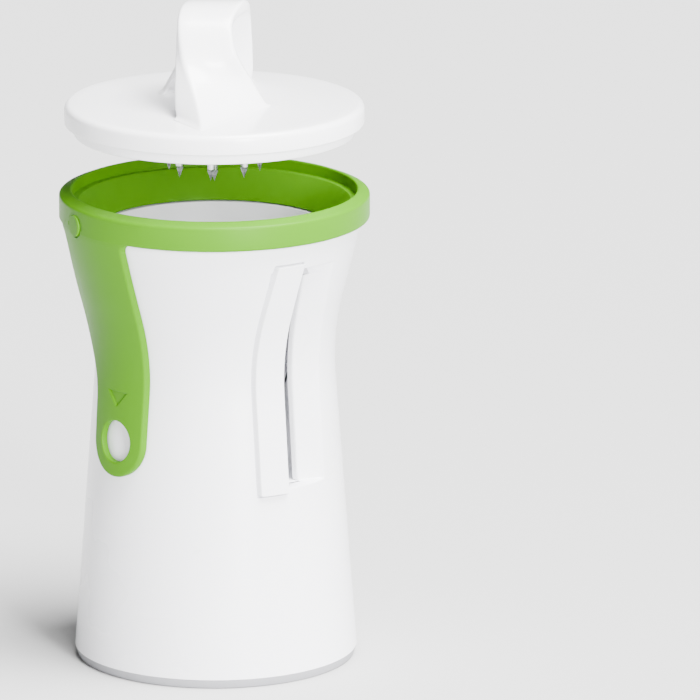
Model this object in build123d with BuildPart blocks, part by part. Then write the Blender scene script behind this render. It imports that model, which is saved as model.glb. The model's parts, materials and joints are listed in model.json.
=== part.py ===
"""Hand-held vegetable spiralizer with a twist-handle lid.

An hourglass housing holds a drop-in cutting cone with a steel blade. A comb cartridge
slides into the side outlet from the front, and a green collar frame with two legs closes
the top. The lid carries the prongs that grip the vegetable: its twisted handle is turned
by hand like a crank while the lid sinks towards the collar.

Millimetres, +Z up, origin at the bottom centre of the foot, outlet towards -Y.
"""

from build123d import *
import os
from math import cos, radians, sin, sqrt

os.makedirs("parts", exist_ok=True)

# ---------------------------------------------------------------- housing
collar_radius = 42.8  # the widest radius, which sets everything round the top
foot_radius = 39.1  # body radius just above the foot ring
foot_ring_height = 2.6
foot_bevel = 0.8  # how much the foot ring narrows to the floor
foot_ring_lip = 4.0  # locating lip of the foot ring, up inside the body
foot_ring_inner_radius = 34.6
collar_step = 2.1  # how far the collar stands out past the body's shoulder
shoulder_radius = collar_radius - collar_step
shoulder_height = 124.1
waist_flank_radius = 32.45  # where the two straight flanks would meet
waist_height = 91.3
waist_blend = 70.0  # radius that rounds the flanks into the waist
body_wall = 2.2
rim_wall = 1.6
rim_inset = 0.6  # step of the rim, which the collar fits over
rim_height = 127.0
fit_gap = 0.3  # running gap between pieces that fit together
seat_gap = 0.15  # gap of pieces that stay put once assembled

# ------------------------------------------------------ outlet and scoop
outlet_bottom = 54.5
outlet_top = 116.4
outlet_left = -9.5
outlet_right = 3.5  # right edge of the open window, inside the scoop
duct_right = 13.2  # right wall of the duct behind the scoop
duct_wall = 2.2
duct_left_wall = 5.0  # thick, because it also carries the cartridge
duct_floor = 3.0
scoop_radius = 24.0
scoop_side = -1.0  # sideways place of the scoop's centre line
scoop_depth = 4.6
scoop_wall = 1.8

# ----------------------------------------------------------- cutting cone
cone_tip_radius = 9.0
cone_tip_height = 48.0
cone_inset = 7.7  # from the shoulder in to the cone's top edge
cone_top_radius = shoulder_radius - cone_inset
cone_wall = 1.8
flange_height = 118.6  # underside of the flange, on the housing's ledge
flange_thickness = 2.0
cone_room = 0.6  # free space kept round the cone inside the housing
ledge_thickness = 1.6
ledge_slope = 3.0

# ------------------------------------------------------------------ blade
slot_left = -9.2
slot_length = 55.0
slot_middle_height = 84.0
blade_width = 9.0
blade_length = 58.0
blade_thickness = 0.6
blade_tilt = 14.0  # degrees, lifts the back of the blade off the cone
blade_bite = 0.6  # how deep the cutting edge stands inside the cone
blade_edge_side = -1.5
blade_bevel = 0.35
land_start = 3.0  # from the cutting edge to the land that carries the blade
land_width = 6.6
land_depth = 6.5
screw_pitch = 18.0
screw_count = 3
screw_from_edge = 6.8
screw_head_radius = 2.2
screw_head_height = 1.0
screw_head_round = 0.6
screw_shank_radius = 1.2
screw_shank_length = 1.8  # below the blade

# -------------------------------------------------------- comb cartridge
strip_left = -13.1
strip_right = -4.2
strip_lean = 2.3  # the strip leans right by this much at its top
strip_bend_height = 84.0
strip_bottom = 53.0
strip_top = 118.5
strip_corner = 2.2
strip_proud = 1.2
strip_sunk = 1.6
web_thickness = 1.8
web_bottom = 58.0
web_top = 111.0
pad_length = 50.0
pad_thickness = 1.5
pad_right = -3.6
comb_plate_thickness = 0.5
comb_plate_gap = 0.6  # between the comb plate and the cone's outer surface
tooth_thickness = 0.5
tooth_pitch = 3.6
tooth_count = 13
tooth_bite = 1.4
rivet_radius = 1.1
rivet_head_radius = 1.7
rivet_head_height = 0.4
rivet_pitch = 36.0
rivet_side = -6.2
rivet_count = 2

# ----------------------------------------------------------- collar frame
collar_bottom = shoulder_height + seat_gap
collar_edge_height = 131.0
collar_top = 132.4
collar_lip = 3.6  # from the collar's outside in to its mouth
mouth_radius = collar_radius - collar_lip
mouth_depth = 3.4
mouth_step = 1.8  # seat of the lid's guide ring, inside the mouth
funnel_top_radius = mouth_radius - mouth_step
collar_edge_round = 0.9
mouth_edge_round = 0.5
collar_foot_round = 0.3
leg_thickness = 1.8
leg_hole_height = 66.4
leg_hole_diameter = 11.5
leg_tip_radius = 9.9
leg_root_front = -8.9
leg_root_back = 19.4
leg_root_round = 2.5
leg_neck_height = 83.0
leg_neck_front = -10.0
leg_shank_height = 76.0  # up to here the back edge runs straight
leg_shank_back = 10.2
leg_flare_height = 108.0
leg_flare_back = 20.4
arrow_width = 7.9
arrow_height = 4.4
arrow_bottom = 76.1
arrow_depth = 0.4
stud_diameter = 6.0
stud_turn = 14.0  # degrees behind the leg's hole
stud_height = 126.2
stud_depth = 1.0
stud_proud = 0.4

# -------------------------------------------------------------------- lid
lid_raise = 18.3  # the lid stands this far above the collar, as on a vegetable
lid_inset = 1.6  # the lid stands this far inside the collar's outside
lid_radius = collar_radius - lid_inset
lid_edge_height = 5.6
lid_dome = 1.4
lid_edge_round = 1.8
lid_skirt = 2.1
lid_roof = 2.2
ring_gap = 0.5  # between the guide ring and the collar's mouth
ring_radius = mouth_radius - ring_gap
ring_drop = 3.0  # how far the guide ring shows below the lid
ring_wall = 2.6
ring_web = 1.4
hub_radius = 17.0
hub_flange_radius = 20.0
hub_flange_thickness = 2.0
prong_circle = 12.5
prong_count = 8
prong_radius = 1.1
prong_length = 13.0
prong_root = 2.4
prong_point = 3.2
centre_prong_extra = 3.0
hub_screw_circle = 7.0
hub_screw_count = 3
hub_screw_radius = 1.4
hub_screw_head_radius = 2.6
hub_screw_head = 1.2
hub_screw_bite = 1.4  # thread held by the lid's roof

# ----------------------------------------------------------------- handle
handle_turn = -40.5  # degrees, how the handle stands
handle_height = 28.3  # crown above the lid's edge
handle_band = 16.4  # width of the band at the crown
handle_thickness = 3.6
handle_foot_sunk = 1.4
handle_foot_inset = 17.2  # from the lid's edge in to the middle of each foot
handle_reach = 12.5  # half the span of the arch
handle_spring = 16.3  # height where the arch springs from its legs


def blend_centre():
    """Centre of the waist's blend arc, and the heights where it meets the flanks."""
    low = Vector(foot_radius - waist_flank_radius, foot_ring_height - waist_height).normalized()
    high = Vector(shoulder_radius - waist_flank_radius, shoulder_height - waist_height).normalized()
    bisector = (low + high).normalized()
    sine = abs(low.X * bisector.Y - low.Y * bisector.X)
    reach = waist_blend / sine
    run = reach * sqrt(1 - sine**2)
    centre = Vector(waist_flank_radius, waist_height) + bisector * reach
    return centre, waist_height + low.Y * run, waist_height + high.Y * run


def body_radius(height):
    """Outer radius of the hourglass at a height."""
    centre, blend_low, blend_high = blend_centre()
    if height < blend_low:
        share = (height - foot_ring_height) / (waist_height - foot_ring_height)
        return foot_radius + share * (waist_flank_radius - foot_radius)
    if height > blend_high:
        share = (height - waist_height) / (shoulder_height - waist_height)
        return waist_flank_radius + share * (shoulder_radius - waist_flank_radius)
    return centre.X - sqrt(waist_blend**2 - (height - centre.Y) ** 2)


def body_layer(outer, inner, bottom, top):
    """Half section between two copies of the hourglass line, moved out by outer and inner."""
    with BuildSketch(Plane.XZ) as section:
        with BuildLine():
            FilletPolyline(
                (body_radius(bottom) + outer, bottom),
                (waist_flank_radius + outer, waist_height),
                (body_radius(top) + outer, top),
                radius=waist_blend,
            )
            Line((body_radius(top) + outer, top), (body_radius(top) + inner, top))
            FilletPolyline(
                (body_radius(top) + inner, top),
                (waist_flank_radius + inner, waist_height),
                (body_radius(bottom) + inner, bottom),
                radius=waist_blend,
            )
            Line((body_radius(bottom) + inner, bottom), (body_radius(bottom) + outer, bottom))
        make_face()
    return section.sketch


def body_core(inset, bottom, top):
    """Half section of everything inside the hourglass line less an inset."""
    with BuildSketch(Plane.XZ) as section:
        with BuildLine():
            FilletPolyline(
                (body_radius(bottom) - inset, bottom),
                (waist_flank_radius - inset, waist_height),
                (body_radius(top) - inset, top),
                radius=waist_blend,
            )
            Polyline(
                (body_radius(top) - inset, top),
                (0, top),
                (0, bottom),
                (body_radius(bottom) - inset, bottom),
            )
        make_face()
    return section.sketch


def half_section(*corners):
    """Closed half section through (radius, height) corners."""
    with BuildSketch(Plane.XZ) as section:
        with BuildLine():
            Polyline(*corners, close=True)
        make_face()
    return section.sketch


def front_box(left, right, bottom, top):
    """Face in the front view, to be extruded towards the outlet."""
    with BuildSketch(Plane.XZ) as face:
        with Locations(((left + right) / 2, (bottom + top) / 2)):
            Rectangle(right - left, top - bottom)
    return face.sketch


cone_slope = (cone_top_radius - cone_tip_radius) / (flange_height - cone_tip_height)
cone_lean = sqrt(1 + cone_slope**2)  # horizontal measure of 1 mm square to the cone's line
front_reach = collar_radius + 5


def cone_radius(height, inset=0.0):
    """Radius of the cutting cone at a height, less an inset."""
    return cone_tip_radius + (height - cone_tip_height) * cone_slope - inset


# Tangent plane of the cone at its front line: x across, y up along the cone, z outwards
front_plane = Plane(
    origin=(0, -cone_radius(slot_middle_height), slot_middle_height),
    x_dir=(1, 0, 0),
    z_dir=(0, -1, -cone_slope),
)
cone_wall_normal = cone_wall / cone_lean
tilt = radians(blade_tilt)
blade_plane = Plane(
    origin=front_plane.from_local_coords((blade_edge_side, 0, -cone_wall_normal - blade_bite)),
    x_dir=front_plane.x_dir * cos(tilt) + front_plane.z_dir * sin(tilt),
    z_dir=front_plane.z_dir * cos(tilt) - front_plane.x_dir * sin(tilt),
)
slot_right = blade_edge_side + land_start * cos(tilt)

# ------------------------------------------------------------ comb outline


def strip_outline(margin):
    """Front view of the outlined strip: straight below, leaning over above its bend."""
    with BuildSketch(Plane.XZ) as outline:
        with BuildLine():
            low, high = strip_bottom - margin, strip_top + margin
            left, right = strip_left - margin, strip_right + margin
            bend = (low, strip_bend_height, high)
            right_side = Spline(
                (right, bend[1]),
                (right + strip_lean, bend[2]),
                tangents=((0, 1), (strip_lean * 2, high - strip_bend_height)),
            )
            left_side = Spline(
                (left, bend[1]),
                (left + strip_lean, bend[2]),
                tangents=((0, 1), (strip_lean * 2, high - strip_bend_height)),
            )
            Line(right_side @ 1, left_side @ 1)
            Polyline(left_side @ 0, (left, low), (right, low), right_side @ 0)
        make_face()
        fillet(outline.vertices().sort_by(Axis.Y)[:2].sort_by(Axis.X)[0], strip_corner)
        fillet(outline.vertices().sort_by(Axis.Y)[-2:].sort_by(Axis.X)[0], strip_corner)
    return outline.sketch


# ----------------------------------------------------------------- foot ring
with BuildPart() as foot_ring:
    lip_radius = body_radius(foot_ring_height) - body_wall - seat_gap
    lip_top = foot_ring_height + foot_ring_lip
    lip_top_radius = body_radius(lip_top) - body_wall - seat_gap
    revolve(
        half_section(
            (foot_ring_inner_radius, 0),
            (foot_radius - foot_bevel, 0),
            (foot_radius, foot_ring_height),
            (lip_radius, foot_ring_height),
            (lip_top_radius, lip_top),
            (foot_ring_inner_radius, lip_top),
        ),
        axis=Axis.Z,
    )

# ------------------------------------------------------------------- housing
with BuildPart() as cone_space:
    space_bottom = outlet_bottom - duct_floor
    revolve(
        half_section(
            (0, space_bottom),
            (cone_radius(space_bottom) + cone_room * cone_lean, space_bottom),
            (cone_radius(flange_height) + cone_room * cone_lean, flange_height),
            (0, flange_height),
        ),
        axis=Axis.Z,
    )

with BuildPart() as blade_room:
    with BuildSketch(blade_plane):
        with Locations(((land_start + blade_width + fit_gap) / 2, 0)):
            Rectangle(blade_width + fit_gap - land_start, blade_length)
    extrude(amount=blade_thickness + screw_head_height + fit_gap)

with BuildPart() as scoop_cut:
    with BuildLine(Plane.YZ) as scoop_path:
        path_out = scoop_radius - scoop_depth
        FilletPolyline(
            (-body_radius(outlet_bottom - duct_floor * 2) - path_out, outlet_bottom - duct_floor * 2),
            (-waist_flank_radius - path_out, waist_height),
            (-body_radius(outlet_top + duct_wall * 2) - path_out, outlet_top + duct_wall * 2),
            radius=waist_blend,
        )
    with BuildSketch(Plane(scoop_path.line @ 0, x_dir=(1, 0, 0), z_dir=scoop_path.line % 0)):
        with Locations((scoop_side, 0)):
            Circle(scoop_radius)
    sweep()

with BuildPart() as scoop_floor:
    with BuildLine(Plane.YZ) as floor_path:
        add(scoop_path.line)
    with BuildSketch(Plane(floor_path.line @ 0, x_dir=(1, 0, 0), z_dir=floor_path.line % 0)):
        with Locations((scoop_side, 0)):
            Circle(scoop_radius + scoop_wall)
    sweep()
    revolve(body_core(body_wall / 2, foot_ring_height, shoulder_height), axis=Axis.Z, mode=Mode.INTERSECT)
    extrude(
        front_box(outlet_left - 1, duct_right + duct_wall, outlet_bottom - duct_floor, flange_height),
        amount=front_reach,
        mode=Mode.INTERSECT,
    )
    add(cone_space.part, mode=Mode.SUBTRACT)
    add(blade_room.part, mode=Mode.SUBTRACT)

with BuildPart() as scoop_slab:
    add(scoop_cut.part)
    extrude(
        front_box(outlet_left, duct_right + front_reach, outlet_bottom, outlet_top),
        amount=front_reach * 2,
        mode=Mode.INTERSECT,
    )

with BuildPart() as duct_block:
    extrude(
        front_box(
            outlet_left - duct_left_wall,
            duct_right + duct_wall,
            outlet_bottom - duct_floor,
            flange_height,
        ),
        amount=front_reach,
    )
    extrude(
        front_box(outlet_left, duct_right, outlet_bottom, outlet_top),
        amount=front_reach,
        mode=Mode.SUBTRACT,
    )
    revolve(body_core(body_wall / 2, foot_ring_height, shoulder_height), axis=Axis.Z, mode=Mode.INTERSECT)
    add(cone_space.part, mode=Mode.SUBTRACT)
    add(blade_room.part, mode=Mode.SUBTRACT)

with BuildPart() as strip_recess:
    revolve(
        body_layer(strip_proud + 2, -strip_sunk - seat_gap, foot_ring_height, shoulder_height),
        axis=Axis.Z,
    )
    extrude(strip_outline(fit_gap), amount=front_reach, mode=Mode.INTERSECT)

with BuildPart() as main_body:
    revolve(body_layer(0, -body_wall, foot_ring_height, shoulder_height), axis=Axis.Z)
    rim_radius = shoulder_radius - rim_inset
    revolve(
        half_section(
            (rim_radius - rim_wall, shoulder_height - rim_wall),
            (rim_radius, shoulder_height - rim_wall),
            (rim_radius, rim_height),
            (rim_radius - rim_wall, rim_height),
        ),
        axis=Axis.Z,
    )
    ledge_inner = cone_top_radius + cone_room * cone_lean
    ledge_foot = flange_height - ledge_thickness - ledge_slope
    revolve(
        half_section(
            (body_radius(flange_height) - body_wall / 2, flange_height),
            (ledge_inner, flange_height),
            (ledge_inner, flange_height - ledge_thickness),
            (body_radius(ledge_foot) - body_wall, ledge_foot),
            (body_radius(ledge_foot) - body_wall / 2, ledge_foot),
        ),
        axis=Axis.Z,
    )
    add(duct_block.part)
    add(scoop_floor.part)
    add(scoop_slab.part, mode=Mode.SUBTRACT)
    extrude(
        front_box(outlet_left, outlet_right, outlet_bottom, outlet_top),
        amount=front_reach,
        mode=Mode.SUBTRACT,
    )
    add(strip_recess.part, mode=Mode.SUBTRACT)

# -------------------------------------------------------------- cutting cone
with BuildPart() as cutting_cone:
    flange_top = flange_height + flange_thickness
    flange_radius = body_radius(flange_height) - body_wall - fit_gap
    revolve(
        half_section(
            (cone_radius(cone_tip_height), cone_tip_height),
            (cone_radius(flange_height), flange_height),
            (flange_radius, flange_height),
            (flange_radius, flange_top),
            (cone_radius(flange_top, cone_wall), flange_top),
            (cone_radius(cone_tip_height, cone_wall), cone_tip_height),
        ),
        axis=Axis.Z,
    )
    with BuildSketch(blade_plane):
        with Locations((land_start + land_width / 2, 0)):
            Rectangle(land_width, blade_length)
    extrude(amount=-land_depth)
    revolve(
        half_section(
            (0, cone_tip_height),
            (cone_radius(cone_tip_height, cone_wall), cone_tip_height),
            (cone_radius(flange_top, cone_wall), flange_top),
            (0, flange_top),
        ),
        axis=Axis.Z,
        mode=Mode.SUBTRACT,
    )
    with BuildSketch(front_plane):
        with Locations(((slot_left + slot_right) / 2, 0)):
            Rectangle(slot_right - slot_left, slot_length)
    extrude(amount=cone_tip_radius, both=True, mode=Mode.SUBTRACT)
    with BuildSketch(blade_plane):
        with Locations(((land_start + land_width) / 2, 0)):
            Rectangle(land_start + land_width, blade_length)
    extrude(amount=cone_tip_radius, mode=Mode.SUBTRACT)
    with Locations(blade_plane):
        with Locations((screw_from_edge, 0, 0)):
            with GridLocations(0, screw_pitch, 1, screw_count):
                Hole(screw_shank_radius + seat_gap, depth=land_depth / 2)

with BuildPart() as slicing_blade:
    with BuildSketch(blade_plane):
        with Locations((blade_width / 2, 0)):
            Rectangle(blade_width, blade_length - 1)
    extrude(amount=blade_thickness)
    long_edges = slicing_blade.edges().filter_by(Axis((0, 0, 0), blade_plane.y_dir))
    chamfer(long_edges.sort_by(Axis.X)[:2].sort_by(Axis.Y)[0], blade_bevel)
    with Locations(blade_plane.offset(blade_thickness)):
        with Locations((screw_from_edge, 0, 0)):
            with GridLocations(0, screw_pitch, 1, screw_count):
                Hole(screw_shank_radius + seat_gap)


def pan_screw(head_radius, head_height, head_round, shank_radius, shank_length):
    """Pan-head screw: its head stands on z = 0 and its shank points down."""
    with BuildPart() as screw:
        with BuildSketch():
            Circle(head_radius)
        extrude(amount=head_height)
        fillet(screw.faces().sort_by(Axis.Z)[-1].edges(), head_round)
        with BuildSketch():
            Circle(shank_radius)
        extrude(amount=-shank_length)
        chamfer(screw.faces().sort_by(Axis.Z)[0].edges(), shank_radius / 2)
    return screw.part


blade_screw = pan_screw(
    screw_head_radius,
    screw_head_height,
    screw_head_round,
    screw_shank_radius,
    screw_shank_length + blade_thickness,
)
blade_screws = []
for place in GridLocations(0, screw_pitch, 1, screw_count):
    seat = Location((screw_from_edge, place.position.Y, 0))
    blade_screws.append(blade_screw.moved(blade_plane.offset(blade_thickness).location * seat))

# ------------------------------------------------------------ comb cartridge
comb_plane = front_plane.offset(comb_plate_gap)
pad_plane = comb_plane.offset(comb_plate_thickness)
web_left = outlet_left + fit_gap

with BuildPart() as strip_band:
    revolve(body_layer(strip_proud, -strip_sunk, foot_ring_height, shoulder_height), axis=Axis.Z)
    extrude(strip_outline(0), amount=front_reach, mode=Mode.INTERSECT)

with BuildPart() as comb_insert:
    pad_reach = (comb_plate_gap + comb_plate_thickness) * cone_lean
    web_plane = Plane.YZ.offset(web_left)
    with BuildSketch(web_plane):
        with BuildLine():
            Polyline(
                (-front_reach, web_bottom),
                (-cone_radius(web_bottom) - pad_reach, web_bottom),
                (-cone_radius(web_top) - pad_reach, web_top),
                (-front_reach, web_top),
                close=True,
            )
        make_face()
    extrude(amount=web_thickness)
    with BuildSketch(pad_plane):
        with Locations(((web_left + pad_right) / 2, 0)):
            Rectangle(pad_right - web_left, pad_length)
    extrude(amount=pad_thickness)
    revolve(body_core(strip_sunk / 2, foot_ring_height, shoulder_height), axis=Axis.Z, mode=Mode.INTERSECT)
    add(strip_band.part)
    with Locations(pad_plane.offset(pad_thickness)):
        with Locations((rivet_side, 0, 0)):
            with GridLocations(0, rivet_pitch, 1, rivet_count):
                Hole(rivet_radius + seat_gap, depth=pad_thickness + fit_gap)

comb_left = web_left + web_thickness / 2
tooth_left = pad_right - comb_plate_thickness
tooth_right = blade_edge_side - fit_gap
with BuildPart() as comb_blade:
    with BuildSketch(comb_plane):
        with Locations(((comb_left + pad_right) / 2, 0)):
            Rectangle(pad_right - comb_left, pad_length)
        with Locations((rivet_side, 0)):
            with GridLocations(0, rivet_pitch, 1, rivet_count):
                Circle(rivet_radius + seat_gap, mode=Mode.SUBTRACT)
    extrude(amount=comb_plate_thickness)
    with BuildSketch(comb_plane.offset(comb_plate_thickness)):
        with Locations(((tooth_left + tooth_right) / 2, 0)):
            with GridLocations(0, tooth_pitch, 1, tooth_count):
                Rectangle(tooth_right - tooth_left, tooth_thickness)
    extrude(amount=-(comb_plate_gap + comb_plate_thickness + cone_wall_normal + tooth_bite))

comb_rivets = []
for place in GridLocations(0, rivet_pitch, 1, rivet_count):
    with BuildPart(comb_plane) as rivet:
        with Locations((rivet_side, place.position.Y, 0)):
            Cylinder(
                rivet_head_radius,
                rivet_head_height,
                align=(Align.CENTER, Align.CENTER, Align.MAX),
            )
            Cylinder(
                rivet_radius,
                comb_plate_thickness + pad_thickness,
                align=(Align.CENTER, Align.CENTER, Align.MIN),
            )
    comb_rivets.append(rivet.part)

# ------------------------------------------------------------- collar frame
mouth_floor = collar_top - mouth_depth
skirt_radius = shoulder_radius - rim_inset + fit_gap
sleeve_bottom = flange_height + flange_thickness + fit_gap
funnel_bottom_radius = cone_radius(sleeve_bottom, cone_wall) + seat_gap
sleeve_top_radius = shoulder_radius - rim_inset - rim_wall - fit_gap
sleeve_bottom_radius = body_radius(sleeve_bottom) - body_wall - fit_gap


def leg_outline():
    """Side view of a leg: a round tip, a straight neck and a flare into the collar."""
    with BuildSketch(Plane.YZ) as outline:
        with BuildLine():
            tip = ThreePointArc(
                (-leg_tip_radius, leg_hole_height),
                (0, leg_hole_height - leg_tip_radius),
                (leg_tip_radius, leg_hole_height),
            )
            shank = Line(tip @ 1, (leg_shank_back, leg_shank_height))
            flare = Spline(
                shank @ 1,
                (leg_flare_back, leg_flare_height),
                tangents=((0, 1), (0, 1)),
            )
            back = Spline(
                flare @ 1,
                (leg_root_back, collar_bottom - leg_root_round),
                tangents=((0, 1), (0, 1)),
            )
            back_corner = CenterArc(
                (leg_root_back + leg_root_round, collar_bottom - leg_root_round),
                leg_root_round,
                180,
                -90,
            )
            front_neck = Line(tip @ 0, (leg_neck_front, leg_neck_height))
            front = Spline(
                front_neck @ 1,
                (leg_root_front, collar_bottom - leg_root_round),
                tangents=((0, 1), (0, 1)),
            )
            front_corner = CenterArc(
                (leg_root_front - leg_root_round, collar_bottom - leg_root_round),
                leg_root_round,
                0,
                90,
            )
            Polyline(
                front_corner @ 1,
                (leg_root_front - leg_root_round, collar_bottom + leg_thickness),
                (leg_root_back + leg_root_round, collar_bottom + leg_thickness),
                back_corner @ 1,
            )
        make_face()
    return outline.sketch


leg_low = leg_hole_height - leg_tip_radius - 2
leg_outside = fit_gap + leg_thickness

with BuildPart() as legs:
    extrude(leg_outline(), amount=front_reach, both=True)
    revolve(
        body_layer(leg_outside, fit_gap, leg_low, collar_bottom + leg_thickness),
        axis=Axis.Z,
        mode=Mode.INTERSECT,
    )
    Cylinder(collar_radius, collar_top * 2, mode=Mode.INTERSECT)
    with BuildSketch(Plane.YZ):
        with Locations((0, leg_hole_height)):
            Circle(leg_hole_diameter / 2)
    extrude(amount=front_reach, both=True, mode=Mode.SUBTRACT)

with BuildPart() as arrow_cut:
    with BuildSketch(Plane.YZ):
        with BuildLine():
            Polyline(
                (-arrow_width / 2, arrow_bottom + arrow_height),
                (arrow_width / 2, arrow_bottom + arrow_height),
                (0, arrow_bottom),
                close=True,
            )
        make_face()
    extrude(amount=front_reach, both=True)
    revolve(
        body_layer(leg_outside + 1, leg_outside - arrow_depth, leg_low, collar_bottom),
        axis=Axis.Z,
        mode=Mode.INTERSECT,
    )

stud_planes = []
for side in (-1, 1):
    turn = radians(stud_turn)
    outward = Vector(side * cos(turn), sin(turn), 0)
    stud_planes.append(
        Plane(origin=outward * (collar_radius - stud_depth) + Vector(0, 0, stud_height), z_dir=outward)
    )

with BuildPart() as collar_frame:
    with BuildSketch(Plane.XZ) as collar_section:
        with BuildLine():
            Polyline(
                (skirt_radius, collar_bottom),
                (collar_radius, collar_bottom),
                (collar_radius, collar_edge_height),
                (mouth_radius, collar_top),
                (mouth_radius, mouth_floor),
                (funnel_top_radius, mouth_floor),
                (funnel_bottom_radius, sleeve_bottom),
                (sleeve_bottom_radius, sleeve_bottom),
                (sleeve_top_radius, rim_height),
                (skirt_radius, rim_height),
                close=True,
            )
        make_face()
        fillet(collar_section.vertices().sort_by(Axis.Y)[-1], mouth_edge_round)
        fillet(
            collar_section.vertices().group_by(Axis.X)[-1].sort_by(Axis.Y)[-1], collar_edge_round
        )
        fillet(
            collar_section.vertices().group_by(Axis.X)[-1].sort_by(Axis.Y)[0], collar_foot_round
        )
    revolve(axis=Axis.Z)
    add(legs.part)
    add(arrow_cut.part, mode=Mode.SUBTRACT)
    with Locations(*stud_planes):
        Cylinder(
            stud_diameter / 2 + seat_gap,
            stud_depth * 2,
            align=(Align.CENTER, Align.CENTER, Align.MIN),
            mode=Mode.SUBTRACT,
        )

studs = []
for plane in stud_planes:
    with BuildPart(plane) as stud:
        Cylinder(
            stud_diameter / 2,
            stud_depth + stud_proud,
            align=(Align.CENTER, Align.CENTER, Align.MIN),
        )
        fillet(stud.faces().sort_by(Axis(plane.origin, plane.z_dir))[-1].edges(), stud_proud * 0.7)
    studs.append(stud.part)

# ---------------------------------------------------------------------- lid
lid_bottom = collar_top + lid_raise
lid_edge = lid_bottom + lid_edge_height
roof_bottom = lid_edge - lid_roof
handle_frame = Plane(
    origin=(0, 0, lid_edge),
    x_dir=(cos(radians(handle_turn)), sin(radians(handle_turn)), 0),
    z_dir=(0, 0, 1),
)


def handle_plane(out, height, pitch):
    """Section plane on the handle's path: x across the band, y towards its inner side."""
    heading = Vector(0, sin(radians(pitch)), cos(radians(pitch)))
    origin = handle_frame.from_local_coords((0, -out, height))
    far = handle_frame.from_local_coords(Vector(0, -out, height) + heading)
    return Plane(origin=origin, x_dir=handle_frame.x_dir, z_dir=far - origin)


# Each station: distance out from the axis, height, pitch of the path, and the section's
# corners as inner left, outer left, outer right, inner right
half_band = handle_band / 2
half_thick = handle_thickness / 2
arch_rise = handle_height - half_thick - handle_spring
foot_out = lid_radius - handle_foot_inset
foot_left = foot_out - lid_radius + lid_edge_round  # the foot's corner nearest to the edge
stations = [
    (
        foot_out,
        -handle_foot_sunk,
        0,
        ((-9.5, -1.5), (-3.2, foot_left), (16.4, 16.0), (15.2, 19.5)),
    ),
    (foot_out - 4, 3.3, 0, ((-11.0, -1.2), (-3.9, -10.0), (13.4, 10.2), (12.6, 13.8))),
    (foot_out - 8, 9.8, 0, ((-11.1, -0.4), (-6.2, -5.2), (9.7, 4.4), (9.3, 8.0))),
    (
        handle_reach,
        handle_spring,
        0,
        ((-10.8, 0.2), (-8.8, -3.0), (6.3, -half_thick), (6.3, half_thick)),
    ),
    (
        handle_reach * sin(radians(45)),
        handle_spring + arch_rise * sin(radians(45)),
        45,
        (
            (-half_band - 1.8, half_thick),
            (-half_band - 1.8, -half_thick),
            (half_band - 3.1, -half_thick),
            (half_band - 3.1, half_thick),
        ),
    ),
]
crown = (
    0.0,
    handle_spring + arch_rise,
    90,
    (
        (-half_band, half_thick),
        (-half_band, -half_thick),
        (half_band, -half_thick),
        (half_band, half_thick),
    ),
)
far_stations = [
    (-out, height, 180 - pitch, tuple((-x, y) for x, y in reversed(corners)))
    for out, height, pitch, corners in reversed(stations)
]

with BuildPart() as handle_band_part:
    for out, height, pitch, corners in stations + [crown] + far_stations:
        with BuildSketch(handle_plane(out, height, pitch)):
            with BuildLine():
                Polyline(*corners, close=True)
            make_face()
    loft()

with BuildPart() as lid:
    with BuildSketch(Plane.XZ) as lid_section:
        with BuildLine():
            dome = ThreePointArc(
                (0, lid_edge + lid_dome),
                (lid_radius / 2, lid_edge + lid_dome * 0.75),
                (lid_radius, lid_edge),
            )
            Polyline(
                dome @ 1,
                (lid_radius, lid_bottom),
                (lid_radius - lid_skirt, lid_bottom),
                (lid_radius - lid_skirt, roof_bottom),
                (0, roof_bottom),
                (0, lid_edge + lid_dome),
            )
        make_face()
        fillet(lid_section.vertices().group_by(Axis.X)[-1].sort_by(Axis.Z)[-1], lid_edge_round)
    revolve(axis=Axis.Z)
    add(handle_band_part.part)
    with BuildSketch(Plane.XY.offset(roof_bottom)):
        with PolarLocations(hub_screw_circle, hub_screw_count):
            Circle(hub_screw_radius + seat_gap)
    extrude(amount=hub_screw_bite + fit_gap, mode=Mode.SUBTRACT)

web_top_gap = roof_bottom - fit_gap
ring_web_bottom = web_top_gap - ring_web
hub_flange_top = ring_web_bottom - fit_gap
hub_bottom = hub_flange_top - hub_flange_thickness

with BuildPart() as guide_ring:
    revolve(
        half_section(
            (hub_radius + fit_gap, ring_web_bottom),
            (ring_radius - ring_wall, ring_web_bottom),
            (ring_radius - ring_wall, lid_bottom - ring_drop),
            (ring_radius, lid_bottom - ring_drop),
            (ring_radius, web_top_gap),
            (hub_radius + fit_gap, web_top_gap),
        ),
        axis=Axis.Z,
    )

prong_places = PolarLocations(prong_circle, prong_count)
hub_screw_places = PolarLocations(hub_screw_circle, hub_screw_count)

with BuildPart() as prong_hub:
    revolve(
        half_section(
            (0, hub_bottom),
            (hub_flange_radius, hub_bottom),
            (hub_flange_radius, hub_flange_top),
            (hub_radius, hub_flange_top),
            (hub_radius, roof_bottom),
            (0, roof_bottom),
        ),
        axis=Axis.Z,
    )
    with BuildSketch(Plane.XY.offset(hub_bottom)):
        with prong_places:
            Circle(prong_radius + seat_gap)
        Circle(prong_radius + seat_gap)
    extrude(amount=prong_root, mode=Mode.SUBTRACT)
    with BuildSketch(Plane.XY.offset(hub_bottom)):
        with hub_screw_places:
            Circle(hub_screw_head_radius + seat_gap)
    extrude(amount=hub_screw_head, mode=Mode.SUBTRACT)
    with BuildSketch(Plane.XY.offset(hub_bottom)):
        with hub_screw_places:
            Circle(hub_screw_radius + seat_gap)
    extrude(amount=roof_bottom - hub_bottom, mode=Mode.SUBTRACT)


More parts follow.
